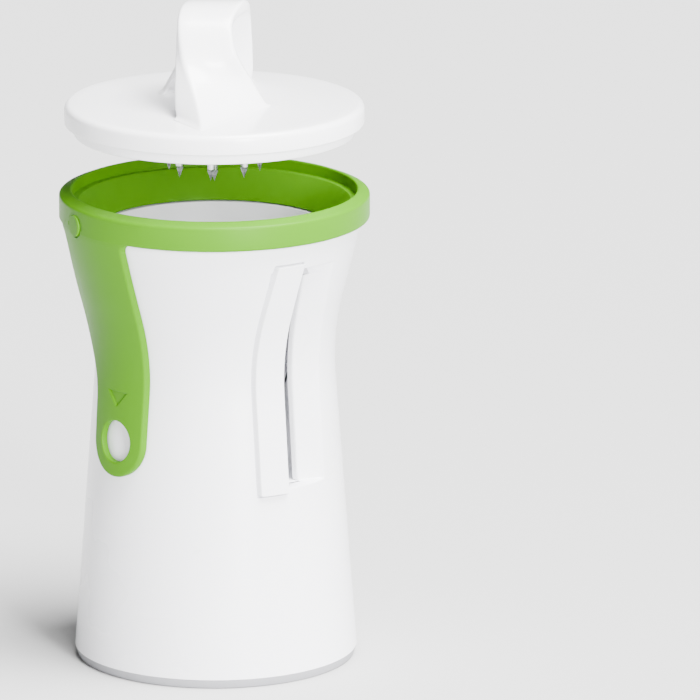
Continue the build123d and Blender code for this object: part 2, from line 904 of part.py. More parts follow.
def prong(x, y, length):
    """Pointed steel pin, its root seated in the hub."""
    point = hub_bottom - length
    with BuildPart() as pin:
        with BuildSketch(Plane.XZ):
            with BuildLine():
                Polyline(
                    (0, hub_bottom + prong_root),
                    (prong_radius, hub_bottom + prong_root),
                    (prong_radius, point + prong_point),
                    (0, point),
                    close=True,
                )
            make_face()
        revolve(axis=Axis.Z)
    return pin.part.moved(Location((x, y, 0)))


prongs = [
    prong(place.position.X, place.position.Y, prong_length) for place in prong_places
]
centre_prong = prong(0, 0, prong_length + centre_prong_extra)

hub_screw = pan_screw(
    hub_screw_head_radius,
    hub_screw_head,
    hub_screw_head / 3,
    hub_screw_radius,
    roof_bottom - hub_bottom - hub_screw_head + hub_screw_bite,
)
hub_screws = []
for place in hub_screw_places:
    x, y = place.position.X, place.position.Y
    upside_down = Location((x, y, hub_bottom + hub_screw_head), (180, 0, 0))
    hub_screws.append(hub_screw.moved(upside_down))

pieces = {
    "foot_ring": foot_ring.part,
    "main_body": main_body.part,
    "cutting_cone": cutting_cone.part,
    "slicing_blade": slicing_blade.part,
    "comb_insert": comb_insert.part,
    "comb_blade": comb_blade.part,
    "collar_frame": collar_frame.part,
    "collar_stud_left": studs[0],
    "collar_stud_right": studs[1],
    "lid": lid.part,
    "guide_ring": guide_ring.part,
    "prong_hub": prong_hub.part,
    "centre_prong": centre_prong,
}
rows = {
    "blade_screw": blade_screws,
    "comb_rivet": comb_rivets,
    "prong": prongs,
    "hub_screw": hub_screws,
}
for row, members in rows.items():
    for number, member in enumerate(members, 1):
        pieces[f"{row}_{number}"] = member

for name, piece in pieces.items():
    piece.label = name
    export_step(piece, f"parts/{name}.step")
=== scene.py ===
"""Hand-held spiralizer with a twist-handle lid: the dressed model and its studio.

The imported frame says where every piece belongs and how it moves. Each sub-assembly here
is a class that keeps its sizes in millimetres, builds finer meshes over the same places
and dresses them with procedural finishes.
"""

import json
import logging
import math
from collections.abc import Callable, Iterable, Sequence
from dataclasses import dataclass
from enum import Enum

import bpy
import numpy as np
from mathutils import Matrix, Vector

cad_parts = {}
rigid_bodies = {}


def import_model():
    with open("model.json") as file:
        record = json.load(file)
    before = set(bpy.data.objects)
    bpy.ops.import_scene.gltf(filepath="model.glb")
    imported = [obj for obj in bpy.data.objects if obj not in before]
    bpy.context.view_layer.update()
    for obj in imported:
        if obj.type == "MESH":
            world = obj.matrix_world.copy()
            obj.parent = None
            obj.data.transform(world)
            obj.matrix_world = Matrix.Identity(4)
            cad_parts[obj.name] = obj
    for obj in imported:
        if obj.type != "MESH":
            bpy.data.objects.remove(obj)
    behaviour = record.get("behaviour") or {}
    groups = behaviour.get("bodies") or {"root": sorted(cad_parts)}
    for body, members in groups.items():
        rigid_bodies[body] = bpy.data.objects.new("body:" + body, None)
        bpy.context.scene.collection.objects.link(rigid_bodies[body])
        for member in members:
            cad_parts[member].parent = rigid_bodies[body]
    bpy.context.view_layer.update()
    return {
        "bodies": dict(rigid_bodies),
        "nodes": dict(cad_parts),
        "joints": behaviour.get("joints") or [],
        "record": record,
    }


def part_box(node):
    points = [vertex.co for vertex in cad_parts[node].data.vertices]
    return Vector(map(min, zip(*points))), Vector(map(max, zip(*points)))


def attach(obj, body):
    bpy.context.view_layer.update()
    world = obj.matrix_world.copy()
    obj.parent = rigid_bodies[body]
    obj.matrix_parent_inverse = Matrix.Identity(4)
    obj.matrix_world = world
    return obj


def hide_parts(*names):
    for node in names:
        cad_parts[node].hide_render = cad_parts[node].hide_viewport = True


LOG = logging.getLogger("spiralizer")
MM = 0.001
TINY = 1e-6  # lengths below this count as none

Flat = tuple[float, float]  # place on a flat sheet, or radius and height on a section
Corner = tuple[float, float, float]  # radius and height on a section, and the rounding there
Place = tuple[float, float, float]  # x, y and z
Wrap = Callable[[float, float], Place]  # carries a flat place to its place in space
Values = dict[str, float | Sequence[float]]  # values of a node's inputs, by name


# ---------------------------------------------------------------- finishes
class Finish(Enum):
    """Finishes of the pieces, named as the record's material slots."""

    WHITE_BODY = "white_body"
    WHITE_LID = "white_lid"
    GREEN_COLLAR = "green_collar"
    INNER_WHITE = "inner_white"
    GREY_FOOT = "grey_foot"
    BLADE_STEEL = "blade_steel"
    PRONG_STEEL = "prong_steel"
    FASTENER_STEEL = "fastener_steel"


class NodeMaterial:
    """A material under construction, its shader fed by patterns that lie on the object."""

    def __init__(self, name: str) -> None:
        """Start with the plain shader.

        Args:
            name: name of the material.
        """
        self.material = bpy.data.materials.new(name)
        self.material.use_nodes = True
        self.nodes = self.material.node_tree.nodes
        self.links = self.material.node_tree.links
        self.shader = self.nodes["Principled BSDF"]

    def set(self, values: Values) -> None:
        """Set plain values of the shader."""
        for label, value in values.items():
            self.shader.inputs[label].default_value = value

    def add(self, kind: str, values: Values) -> bpy.types.Node:
        """Add a node.

        Args:
            kind: type of the node.
            values: values of its inputs.

        Returns:
            The node.
        """
        node = self.nodes.new(kind)
        for label, value in values.items():
            node.inputs[label].default_value = value
        return node

    def coordinates(self) -> bpy.types.NodeSocket:
        """Add the object's own coordinates."""
        return self.add("ShaderNodeTexCoord", {}).outputs["Object"]

    def noise(
        self, place: bpy.types.NodeSocket, scale: float, detail: float
    ) -> bpy.types.NodeSocket:
        """Add a noise pattern.

        Args:
            place: coordinates at which it is read.
            scale: how close it lies.
            detail: how many finer layers it has.

        Returns:
            The pattern, from 0 to 1.
        """
        noise = self.add("ShaderNodeTexNoise", {"Scale": scale, "Detail": detail})
        self.links.new(place, noise.inputs["Vector"])
        return noise.outputs["Fac"]

    def tint(
        self, pattern: bpy.types.NodeSocket, colors: Sequence[Sequence[float]], ends: Flat
    ) -> None:
        """Colour the shader by a pattern.

        Args:
            pattern: the pattern, from 0 to 1.
            colors: the colours at its low and its high end.
            ends: where in the pattern each of them is reached.
        """
        ramp = self.add("ShaderNodeValToRGB", {})
        for stop, color, end in zip(ramp.color_ramp.elements, colors, ends):
            stop.position = end
            stop.color = (*color, 1.0)
        self.links.new(pattern, ramp.inputs["Fac"])
        self.links.new(ramp.outputs["Color"], self.shader.inputs["Base Color"])

    def roughen(self, pattern: bpy.types.NodeSocket, low: float, high: float) -> None:
        """Vary the shader's roughness by a pattern.

        Args:
            pattern: the pattern, from 0 to 1.
            low: roughness at its low end.
            high: roughness at its high end.
        """
        spread = self.add("ShaderNodeMapRange", {"To Min": low, "To Max": high})
        self.links.new(pattern, spread.inputs["Value"])
        self.links.new(spread.outputs["Result"], self.shader.inputs["Roughness"])

    def emboss(self, pattern: bpy.types.NodeSocket, strength: float, height: float) -> None:
        """Raise the surface by a pattern, as a bump.

        Args:
            pattern: the pattern, from 0 to 1.
            strength: share of the bump that shows.
            height: height of the bump in metres.
        """
        bump = self.add("ShaderNodeBump", {"Strength": strength, "Distance": height})
        self.links.new(pattern, bump.inputs["Height"])
        self.links.new(bump.outputs["Normal"], self.shader.inputs["Normal"])


@dataclass(frozen=True)
class Moulded:
    """Injection-moulded plastic: faint flow marks, fine grain and a soft gloss."""

    color: tuple[float, float, float]
    roughness: float = 0.3
    roughness_spread: float = 0.08
    tone_spread: float = 0.04
    flow_scale: float = 28.0
    flow_detail: float = 3.0
    flow_ends: Flat = (0.3, 0.7)
    grain_scale: float = 2500.0
    grain_detail: float = 2.0
    grain_strength: float = 0.35
    grain_height: float = 0.00002
    gloss: float = 0.5
    coat: float = 0.0
    coat_roughness: float = 0.12

    def build(self, name: str) -> bpy.types.Material:
        """Make the node material.

        Args:
            name: name of the material.

        Returns:
            The finished material.
        """
        plastic = NodeMaterial(name)
        place = plastic.coordinates()
        flow = plastic.noise(place, self.flow_scale, self.flow_detail)
        low = [c * (1.0 - self.tone_spread) for c in self.color]
        high = [min(1.0, c * (1.0 + self.tone_spread / 2)) for c in self.color]
        plastic.tint(flow, (low, high), self.flow_ends)
        plastic.roughen(flow, self.roughness, self.roughness + self.roughness_spread)
        grain = plastic.noise(place, self.grain_scale, self.grain_detail)
        plastic.emboss(grain, self.grain_strength, self.grain_height)
        plastic.set(
            {
                "Specular IOR Level": self.gloss,
                "Coat Weight": self.coat,
                "Coat Roughness": self.coat_roughness,
            }
        )
        return plastic.material


@dataclass(frozen=True)
class GroundSteel:
    """Stainless steel with fine grinding lines along one direction."""

    color: tuple[float, float, float]
    roughness: float = 0.25
    smoother: float = 0.05
    rougher: float = 0.12
    dark_share: float = 0.86
    line_scale: tuple[float, float, float] = (90.0, 90.0, 2400.0)
    line_detail: float = 4.0
    line_strength: float = 0.2
    line_height: float = 0.00002

    def build(self, name: str) -> bpy.types.Material:
        """Make the node material.

        Args:
            name: name of the material.

        Returns:
            The finished material.
        """
        steel = NodeMaterial(name)
        stretch = steel.add("ShaderNodeMapping", {"Scale": self.line_scale})
        steel.links.new(steel.coordinates(), stretch.inputs["Vector"])
        lines = steel.noise(stretch.outputs["Vector"], 1.0, self.line_detail)
        dark = [c * self.dark_share for c in self.color]
        steel.tint(lines, (dark, self.color), (0.0, 1.0))
        steel.roughen(lines, self.roughness - self.smoother, self.roughness + self.rougher)
        steel.emboss(lines, self.line_strength, self.line_height)
        steel.set({"Metallic": 1.0})
        return steel.material


FINISHES: dict[Finish, Moulded | GroundSteel] = {
    Finish.WHITE_BODY: Moulded(
        color=(0.89, 0.89, 0.92), roughness=0.24, tone_spread=0.02, coat=0.4
    ),
    Finish.WHITE_LID: Moulded(
        color=(0.93, 0.93, 0.945), roughness=0.28, tone_spread=0.02, coat=0.3
    ),
    Finish.GREEN_COLLAR: Moulded(
        color=(0.062, 0.215, 0.0005), roughness=0.36, tone_spread=0.05, gloss=0.1
    ),
    Finish.INNER_WHITE: Moulded(color=(0.78, 0.78, 0.8), roughness=0.45, tone_spread=0.06),
    Finish.GREY_FOOT: Moulded(
        color=(0.32, 0.32, 0.34), roughness=0.55, grain_height=0.00005, grain_scale=1400.0
    ),
    Finish.BLADE_STEEL: GroundSteel(color=(0.66, 0.67, 0.69), roughness=0.22),
    Finish.PRONG_STEEL: GroundSteel(
        color=(0.7, 0.71, 0.73), roughness=0.16, line_scale=(60.0, 60.0, 1500.0)
    ),
    Finish.FASTENER_STEEL: GroundSteel(color=(0.62, 0.62, 0.64), roughness=0.3),
}


class Paintshop:
    """Makes each finish once and hands it to the pieces."""

    def __init__(self) -> None:
        """Start with no material made."""
        self.made: dict[Finish, bpy.types.Material] = {}

    def material(self, finish: Finish) -> bpy.types.Material:
        """Make a material at its first use, and return it.

        Args:
            finish: the finish wanted.

        Returns:
            Its material.
        """
        if finish not in self.made:
            self.made[finish] = FINISHES[finish].build(finish.value)
        return self.made[finish]

    def dress_node(self, node: bpy.types.Object, finish: Finish) -> None:
        """Give a carried-over node its finish without touching its mesh."""
        for slot in node.material_slots:
            slot.material = self.material(finish)

    def hand_over(
        self, piece: bpy.types.Object, finish: Finish, body: str, nodes: Sequence[str]
    ) -> None:
        """Dress a piece and tie it to the frame.

        Args:
            piece: the object made here.
            finish: its finish all over.
            body: the frame's body it rides on.
            nodes: the frame's nodes it stands for.
        """
        piece.data.materials.clear()
        piece.data.materials.append(self.material(finish))
        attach(piece, body)
        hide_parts(*nodes)
        LOG.info("%s: %d faces on %s", piece.name, len(piece.data.polygons), body)


# ------------------------------------------------------------ mesh drafting
def set_up(name: str, data: bpy.types.ID) -> bpy.types.Object:
    """Put a mesh, a light or a camera into the scene, at the origin.

    Args:
        name: name of the object.
        data: what it shows.

    Returns:
        The object.
    """
    item = bpy.data.objects.new(name, data)
    bpy.context.scene.collection.objects.link(item)
    return item


class Draft:
    """Points and faces of one mesh, in millimetres."""

    def __init__(self) -> None:
        """Start empty."""
        self.points: list[Place] = []
        self.faces: list[tuple[int, ...]] = []

    def add(self, places: Iterable[Place]) -> list[int]:
        """Add points.

        Args:
            places: the points' coordinates.

        Returns:
            Their numbers.
        """
        start = len(self.points)
        self.points.extend(places)
        return list(range(start, len(self.points)))

    def absorb(self, other: "Draft", move: Callable[[Place], Place]) -> None:
        """Take in another draft.

        Args:
            other: the draft whose faces are taken.
            move: where each of its points goes.
        """
        start = len(self.points)
        self.points.extend(move(point) for point in other.points)
        self.faces.extend(tuple(start + i for i in face) for face in other.faces)

    def band(self, first: Sequence[int], second: Sequence[int]) -> None:
        """Join two closed rows of points by quads, or by triangles where one is a point.

        Args:
            first: the row that comes first along the surface.
            second: the next row.
        """
        count = max(len(first), len(second))
        for i in range(count):
            j = (i + 1) % count
            if len(first) == 1:
                self.faces.append((first[0], second[j], second[i]))
            elif len(second) == 1:
                self.faces.append((first[i], first[j], second[0]))
            else:
                self.faces.append((first[i], first[j], second[j], second[i]))

    def lathe(self, corners: Sequence[Corner], segments: int = 256) -> None:
        """Turn a closed section with rounded corners about the Z axis.

        Args:
            corners: the section, running outside-up so that the faces look outwards.
            segments: steps round the axis.
        """
        turns = [2 * math.pi * i / segments for i in range(segments)]
        rings = []
        for radius, height in rounded_loop(corners):
            if radius < TINY:
                rings.append(self.add([(0.0, 0.0, height)]))
            else:
                rings.append(
                    self.add((radius * math.cos(t), radius * math.sin(t), height) for t in turns)
                )
        for ring, following in zip(rings, rings[1:] + rings[:1]):
            if len(ring) > 1 or len(following) > 1:
                self.band(ring, following)

    def plate(self, sheet: "Sheet", outer: Wrap, inner: Wrap) -> None:
        """Make a closed plate from a flat sheet and its two faces.

        Args:
            sheet: flat points and faces, anticlockwise as seen from outside.
            outer: place of a flat point on the outer face.
            inner: place of a flat point on the inner face.
        """
        front = self.add(outer(u, v) for u, v in sheet.points)
        back = self.add(inner(u, v) for u, v in sheet.points)
        edges: dict[tuple[int, int], None] = {}
        for face in sheet.faces:
            self.faces.append(tuple(front[i] for i in face))
            self.faces.append(tuple(back[i] for i in reversed(face)))
            edges.update(dict.fromkeys(zip(face, face[1:] + face[:1])))
        for a, b in edges:
            if (b, a) not in edges:
                self.faces.append((front[b], front[a], back[a], back[b]))

    def to_object(self, name: str, sharp_angle: float = 40.0) -> bpy.types.Object:
        """Make the Blender object at the origin.

        Args:
            name: name of the object.
            sharp_angle: edges that turn by more degrees stay sharp.

        Returns:
            The object, linked to the scene.
        """
        mesh = bpy.data.meshes.new(name)
        mesh.from_pydata([(x * MM, y * MM, z * MM) for x, y, z in self.points], [], self.faces)
        mesh.polygons.foreach_set("use_smooth", [True] * len(mesh.polygons))
        mesh.set_sharp_from_angle(angle=math.radians(sharp_angle))
        mesh.update()
        return set_up(name, mesh)


@dataclass
class Sheet:
    """A flat mesh, to be wrapped and thickened."""

    points: list[Flat]
    faces: list[tuple[int, ...]]

    @classmethod
    def rows(cls, lines: Sequence[Sequence[Flat]]) -> "Sheet":
        """Make a sheet from rows.

        Args:
            lines: rows with the same number of points, each above the one before.

        Returns:
            The sheet between them.
        """
        width = len(lines[0])
        points = [point for line in lines for point in line]
        faces = [
            (r * width + c, r * width + c + 1, (r + 1) * width + c + 1, (r + 1) * width + c)
            for r in range(len(lines) - 1)
            for c in range(width - 1)
        ]
        return cls(points, faces)

    @classmethod
    def grid(cls, across: Sequence[float], up: Sequence[float]) -> "Sheet":
        """Make a rectangular sheet with lines at the given places."""
        return cls.rows([[(u, v) for u in across] for v in up])

    def join(self, other: "Sheet", tolerance: float = 1e-4) -> "Sheet":
        """Weld another sheet to this one where their points meet.

        Args:
            other: the sheet to add.
            tolerance: how far apart two points may lie that are one.

        Returns:
            The two as one sheet.
        """
        places: dict[tuple[int, int], int] = {}
        points: list[Flat] = []
        faces: list[tuple[int, ...]] = []
        for sheet in (self, other):
            numbers = []
            for u, v in sheet.points:
                key = (round(u / tolerance), round(v / tolerance))
                if key not in places:
                    places[key] = len(points)
                    points.append((u, v))
                numbers.append(places[key])
            faces.extend(tuple(numbers[i] for i in face) for face in sheet.faces)
        return Sheet(points, faces)


def rounded_loop(corners: Sequence[Corner], steps: int = 6) -> list[Flat]:
    """Round the corners of a closed section.

    Args:
        corners: the corners in order.
        steps: pieces of each rounding.

    Returns:
        The points of the rounded section.
    """
    loop: list[Flat] = []
    for i, (x, y, rounding) in enumerate(corners):
        if rounding <= 0:
            loop.append((x, y))
            continue
        here = Vector((x, y))
        before = (Vector(corners[i - 1][:2]) - here).normalized()
        after = (Vector(corners[(i + 1) % len(corners)][:2]) - here).normalized()
        half = before.angle(after) / 2
        centre = here + (before + after).normalized() * (rounding / math.sin(half))
        start = here + before * (rounding / math.tan(half)) - centre
        end = here + after * (rounding / math.tan(half)) - centre
        first = math.atan2(start.y, start.x)
        sweep = (math.atan2(end.y, end.x) - first + math.pi) % (2 * math.pi) - math.pi
        for step in range(steps + 1):
            turn = first + sweep * step / steps
            loop.append(
                (centre.x + rounding * math.cos(turn), centre.y + rounding * math.sin(turn))
            )
    return loop


def spaced(*stretches: tuple[float, float, float]) -> list[float]:
    """Space out rising places along a line.

    Args:
        stretches: (from, to, step) of each stretch, the next one starting where the last ends.

    Returns:
        The places, both ends of every stretch among them.
    """
    places: list[float] = []
    for low, high, step in stretches:
        count = max(1, round((high - low) / step))
        places.extend(low + (high - low) * i / count for i in range(count))
    places.append(stretches[-1][1])
    return places


def nearest(places: Sequence[float], place: float) -> int:
    """Number of the one among some places that lies closest to a place."""
    return min(range(len(places)), key=lambda i: abs(places[i] - place))


def clamp(share: float) -> float:
    """Hold a share between 0 and 1."""
    return min(1.0, max(0.0, share))


def ease(share: float) -> float:
    """Step smoothly from 0 to 1 as a share does, and hold outside."""
    share = clamp(share)
    return share * share * (3 - 2 * share)


def passage(height: float, low: Flat, high: Flat, smooth: bool = False) -> float:
    """Go from one value to another between two heights.

    Args:
        height: where the value is wanted.
        low: the lower height and the value there.
        high: the upper height and the value there.
        smooth: whether it starts and ends gently.

    Returns:
        The value at the height.
    """
    share = (height - low[0]) / (high[0] - low[0])
    return low[1] + (high[1] - low[1]) * (ease(share) if smooth else share)


def edge_drop(distance: float, rounding: float) -> float:
    """How far a rounded edge falls below its face at a distance from the edge."""
    reach = rounding - min(max(distance, 0.0), rounding)
    return rounding - math.sqrt(rounding * rounding - reach * reach)


def rounded_box_distance(
    u: float, v: float, half_u: float, half_v: float, corner: float
) -> float:
    """Distance of a point from the outline of a rounded rectangle about the origin.

    Args:
        u: place of the point across.
        v: place of the point upwards.
        half_u: half the rectangle's width.
        half_v: half its height.
        corner: radius of its corners.

    Returns:
        The distance, below 0 inside.
    """
    du, dv = abs(u) - half_u + corner, abs(v) - half_v + corner
    outside = math.hypot(max(du, 0.0), max(dv, 0.0))
    return outside + min(max(du, dv), 0.0) - corner


def soft_max(a: float, b: float, width: float) -> float:
    """The larger of two values, rounded over where they meet."""
    share = clamp(0.5 + (a - b) / (2 * width))
    return b + (a - b) * share + width * share * (1 - share)


def natural_spline(knots: np.ndarray, values: np.ndarray, places: np.ndarray) -> np.ndarray:
    """Run a cubic spline, free at both ends, through rows of values.

    Args:
        knots: rising places of the rows.
        values: one row of values for each knot.
        places: where the spline is wanted.

    Returns:
        One row of values for each place.
    """
    count = len(knots)
    gaps = np.diff(knots)
    matrix = np.eye(count)
    right = np.zeros_like(values)
    for i in range(1, count - 1):
        matrix[i, i - 1 : i + 2] = gaps[i - 1], 2 * (gaps[i - 1] + gaps[i]), gaps[i]
        right[i] = 6 * (
            (values[i + 1] - values[i]) / gaps[i] - (values[i] - values[i - 1]) / gaps[i - 1]
        )
    bends = np.linalg.solve(matrix, right)
    spans = np.clip(np.searchsorted(knots, places, side="right") - 1, 0, count - 2)
    a = ((knots[spans + 1] - places) / gaps[spans])[:, None]
    b = 1 - a
    gap = gaps[spans][:, None]
    curve = (a**3 - a) * bends[spans] + (b**3 - b) * bends[spans + 1]
    return a * values[spans] + b * values[spans + 1] + curve * gap**2 / 6


# ------------------------------------------------------- shared main lines
@dataclass(frozen=True)
class Hourglass:
    """Outer line of the housing: two flanks and a round waist."""

    foot_radius: float = 39.1
    foot_height: float = 2.6
    waist_radius: float = 32.45
    waist_height: float = 91.3
    shoulder_radius: float = 40.7
    shoulder_height: float = 124.1
    blend: float = 70.0

    def radius(self, height: float) -> float:
        """Find the outer radius.

        Args:
            height: height above the ground.

        Returns:
            The radius there, on a flank or on the waist's arc between them.
        """
        low = Vector(
            (self.foot_radius - self.waist_radius, self.foot_height - self.waist_height)
        ).normalized()
        high = Vector(
            (self.shoulder_radius - self.waist_radius, self.shoulder_height - self.waist_height)
        ).normalized()
        bisector = (low + high).normalized()
        sine = abs(low.x * bisector.y - low.y * bisector.x)
        reach = self.blend / sine
        run = reach * math.sqrt(1 - sine**2)
        if height < self.waist_height + low.y * run:
            return self.waist_radius + low.x / low.y * (height - self.waist_height)
        if height > self.waist_height + high.y * run:
            return self.waist_radius + high.x / high.y * (height - self.waist_height)
        centre = Vector((self.waist_radius, self.waist_height)) + bisector * reach
        return centre.x - math.sqrt(self.blend**2 - (height - centre.y) ** 2)


@dataclass(frozen=True)
class Cone:
    """Outer line of the cutting cone, and the room round it."""

    tip_radius: float = 9.0
    tip_height: float = 48.0
    top_radius: float = 33.0
    flange_height: float = 118.6
    room: float = 0.6

    def radius(self, height: float) -> float:
        """Outer radius at a height."""
        slope = (self.top_radius - self.tip_radius) / (self.flange_height - self.tip_height)
        return self.tip_radius + slope * (height - self.tip_height)


@dataclass(frozen=True)
class Strip:
    """Outline of the comb cartridge's strip, which its recess repeats with a gap."""

    left: float = -12.6
    right: float = -4.2
    bottom: float = 53.2
    top: float = 118.3
    bend: float = 84.0
    lean: float = 2.3
    corner: float = 0.7
    inner_corner: float = 0.4  # of the corners on the outlet's side

    def shift(self, height: float) -> float:
        """Find how far the strip has leaned to the right.

        Args:
            height: height above the ground.

        Returns:
            The shift, growing from the bend to the top.
        """
        if height < self.bend:
            return 0.0
        return self.lean * ((height - self.bend) / (self.top - self.bend)) ** 2

    def distance(self, x: float, height: float, margin: float = 0.0) -> float:
        """Find the distance of a place from the outline.

        Args:
            x: sideways place.
            height: height above the ground.
            margin: how far the outline is grown first.

        Returns:
            The distance, below 0 inside.
        """
        middle = (self.left + self.right) / 2
        upright = x - self.shift(height)
        return rounded_box_distance(
            upright - middle,
            height - (self.bottom + self.top) / 2,
            (self.right - self.left) / 2 + margin,
            (self.top - self.bottom) / 2 + margin,
            self.corner if upright < middle else self.inner_corner,
        )


BODY = Hourglass()
CONE = Cone()
STRIP = Strip()


def on_front(x: float, radius: float, height: float) -> Place:
    """Place on the front of a circle of that radius, at a sideways place."""
    return (x, -math.sqrt(max(radius * radius - x * x, 0.0)), height)


def on_side(y: float, radius: float, height: float, side: int) -> Place:
    """Place on the left (-1) or right (1) of a circle of that radius."""
    return (side * math.sqrt(max(radius * radius - y * y, 0.0)), y, height)


# ------------------------------------------------------------ sub-assemblies
@dataclass
class Housing:
    """White hourglass with the rim, the strip's recess, the outlet and its scoop."""

    wall: float = 2.2
    rim_radius: float = 40.1
    rim_wall: float = 1.6
    rim_height: float = 127.0
    rim_round: float = 0.3
    rim_foot: float = 1.0
    shoulder_round: float = 0.4
    window_left: float = -9.5
    window_right: float = 3.5
    window_bottom: float = 54.5
    window_top: float = 116.4
    scoop_radius: float = 24.0
    scoop_side: float = -1.0
    scoop_depth: float = 4.6
    scoop_wall: float = 1.8
    scoop_blend: float = 0.5
    scoop_end: float = 0.7
    scoop_start: float = 2.0
    scoop_edge: Flat = (9.0, 12.5)  # where the scoop runs out on the right
    lip_round: float = 0.6
    recess_depth: float = 1.75
    recess_gap: float = 0.5
    recess_wall: float = 0.12  # run over which the recess's edge falls
    duct_left: float = -14.5
    duct_right: float = 13.2
    duct_wall: float = 2.2
    duct_floor: float = 3.0
    ledge_radius: float = 33.63
    ledge_foot: float = 114.0
    ledge_slope: float = 3.0
    ledge_lip: float = 0.02  # from the ledge's face to the ring above it
    roof_gap: float = 0.05  # from the duct's roof to the ledge's face
    front_reach: float = 20.0  # half the width over which the columns follow the outlet

    def scoop(self, x: float, height: float) -> float:
        """Find how deep the scoop lies below the hourglass.

        Args:
            x: sideways place.
            height: height above the ground.

        Returns:
            The depth there, 0 outside the scoop.
        """
        radius = BODY.radius(height)
        reach = self.scoop_radius**2 - (x - self.scoop_side) ** 2
        if reach <= 0 or abs(x) >= radius:
            return 0.0
        floor = -(radius + self.scoop_radius - self.scoop_depth) + math.sqrt(reach)
        depth = soft_max(floor + math.sqrt(radius**2 - x * x), 0.0, self.scoop_blend)
        start = ease((height - self.window_bottom) / self.scoop_end + 0.5)
        end = ease((self.window_top - height) / self.scoop_end + 0.5)
        return depth * start * end * ease((x - STRIP.left) / self.scoop_start)

    def outer(self, x: float, height: float, front: bool) -> float:
        """Find the radius of the outer face.

        Args:
            x: sideways place.
            height: height above the ground.
            front: whether the place is on the front.

        Returns:
            The radius, less the recess, the scoop and the window's rounded lip.
        """
        radius = BODY.radius(height)
        if not front:
            return radius
        inside = -STRIP.distance(x, height, self.recess_gap) / self.recess_wall
        depth = max(self.recess_depth * clamp(inside), self.scoop(x, height))
        if x >= self.window_right - TINY and self.window_bottom < height < self.window_top:
            depth += edge_drop(x - self.window_right, self.lip_round)
        return radius - depth

    def inner(self, x: float, height: float, front: bool) -> float:
        """Find the radius of the inner face.

        Args:
            x: sideways place.
            height: height above the ground.
            front: whether the place is on the front.

        Returns:
            The radius, narrowed behind the scoop and at the cone's ledge.
        """
        radius = BODY.radius(height) - self.wall
        if front and height < self.ledge_foot:
            scooped = BODY.radius(height) - self.scoop(x, height) - self.scoop_wall
            radius = min(radius, scooped)
        if self.ledge_foot < height <= CONE.flange_height:
            share = min(1.0, (height - self.ledge_foot) / self.ledge_slope)
            radius = min(radius, radius + (self.ledge_radius - radius) * share)
        return radius

    def columns(self) -> tuple[list[float], list[float]]:
        """Place the columns, closest at the recess's walls, the window and the scoop's end.

        Returns:
            Sideways places of the front columns, and shares of the way round for the others.
        """
        left, right = STRIP.left - self.recess_gap, STRIP.right + self.recess_gap
        window, lip = self.window_right, self.window_right + self.lip_round
        front = spaced(
            (-self.front_reach, left - 0.5, 0.9),
            (left - 0.5, left - 0.1, 0.2),
            (left - 0.1, left + 0.3, 0.1),
            (left + 0.3, left + 2.6, 0.22),
            (left + 2.6, self.window_left, 0.6),
            (self.window_left, right - 0.4, 0.65),
            (right - 0.4, right + 0.2, 0.12),
            (right + 0.2, window, 0.7),
            (window, lip, 0.1),
            (lip, self.scoop_edge[0], 0.55),
            (*self.scoop_edge, 0.2),
            (self.scoop_edge[1], self.front_reach, 0.7),
        )
        return front, spaced((0.0, 1.0, 1 / 200))[1:-1]

    def rows(self) -> list[float]:
        """Place the rows, closest at the ends of the recess and of the window.

        Returns:
            Their heights.
        """
        low, high = STRIP.bottom - self.recess_gap, STRIP.top + self.recess_gap
        sill, lintel = self.window_bottom, self.window_top
        above_sill = 80.0
        return spaced(
            (BODY.foot_height, low - 0.5, 2.0),
            (low - 0.5, low - 0.1, 0.2),
            (low - 0.1, low + 0.3, 0.1),
            (low + 0.3, sill - 0.5, 0.2),
            (sill - 0.5, sill, 0.1),
            (sill, sill + 0.5, 0.1),
            (sill + 0.5, sill + 2.0, 0.3),
            (sill + 2.0, above_sill, 1.2),
            (above_sill, self.ledge_foot, 0.9),
            (self.ledge_foot, lintel - 0.5, 0.4),
            (lintel - 0.5, lintel, 0.1),
            (lintel, lintel + 0.5, 0.1),
            (lintel + 0.5, high - 0.3, 0.22),
            (high - 0.3, high + 0.1, 0.1),
            (high + 0.1, high + 0.5, 0.2),
            (high + 0.5, BODY.shoulder_height - self.shoulder_round, 0.9),
        )

    def turn(self, x: float, height: float) -> float:
        """Find where a front column stands at a height.

        Columns at the strip's edges lean with it, and those at the window's stay upright.

        Args:
            x: sideways place of the column at the bottom.
            height: height above the ground.

        Returns:
            Its turn about the axis, from the front.
        """
        reach = self.front_reach
        lines = (-reach, STRIP.left, self.window_left, STRIP.right, self.window_right, reach)
        leans = (0.0, 1.0, 0.0, 1.0, 0.0, 0.0)
        shifted = x + STRIP.shift(height) * float(np.interp(x, lines, leans))
        return math.asin(shifted / BODY.radius(height))

    def ring(
        self,
        draft: Draft,
        height: float,
        line: float,
        radius: Callable[[float, float, bool], float],
    ) -> list[int]:
        """Add one ring of the shell.

        Args:
            draft: the mesh it goes into.
            height: height of the ring.
            line: height on the hourglass whose columns it follows.
            radius: its radius, from the sideways place, that height and whether it is in front.

        Returns:
            The numbers of its points.
        """
        front, others = self.columns()
        turns = [self.turn(x, line) for x in front]
        gap = 2 * math.pi - (turns[-1] - turns[0])
        places = []
        for i, turn in enumerate(turns + [turns[-1] + gap * share for share in others]):
            r = radius(math.sin(turn) * BODY.radius(line), line, i < len(turns))
            places.append((math.sin(turn) * r, -math.cos(turn) * r, height))
        return draft.add(places)

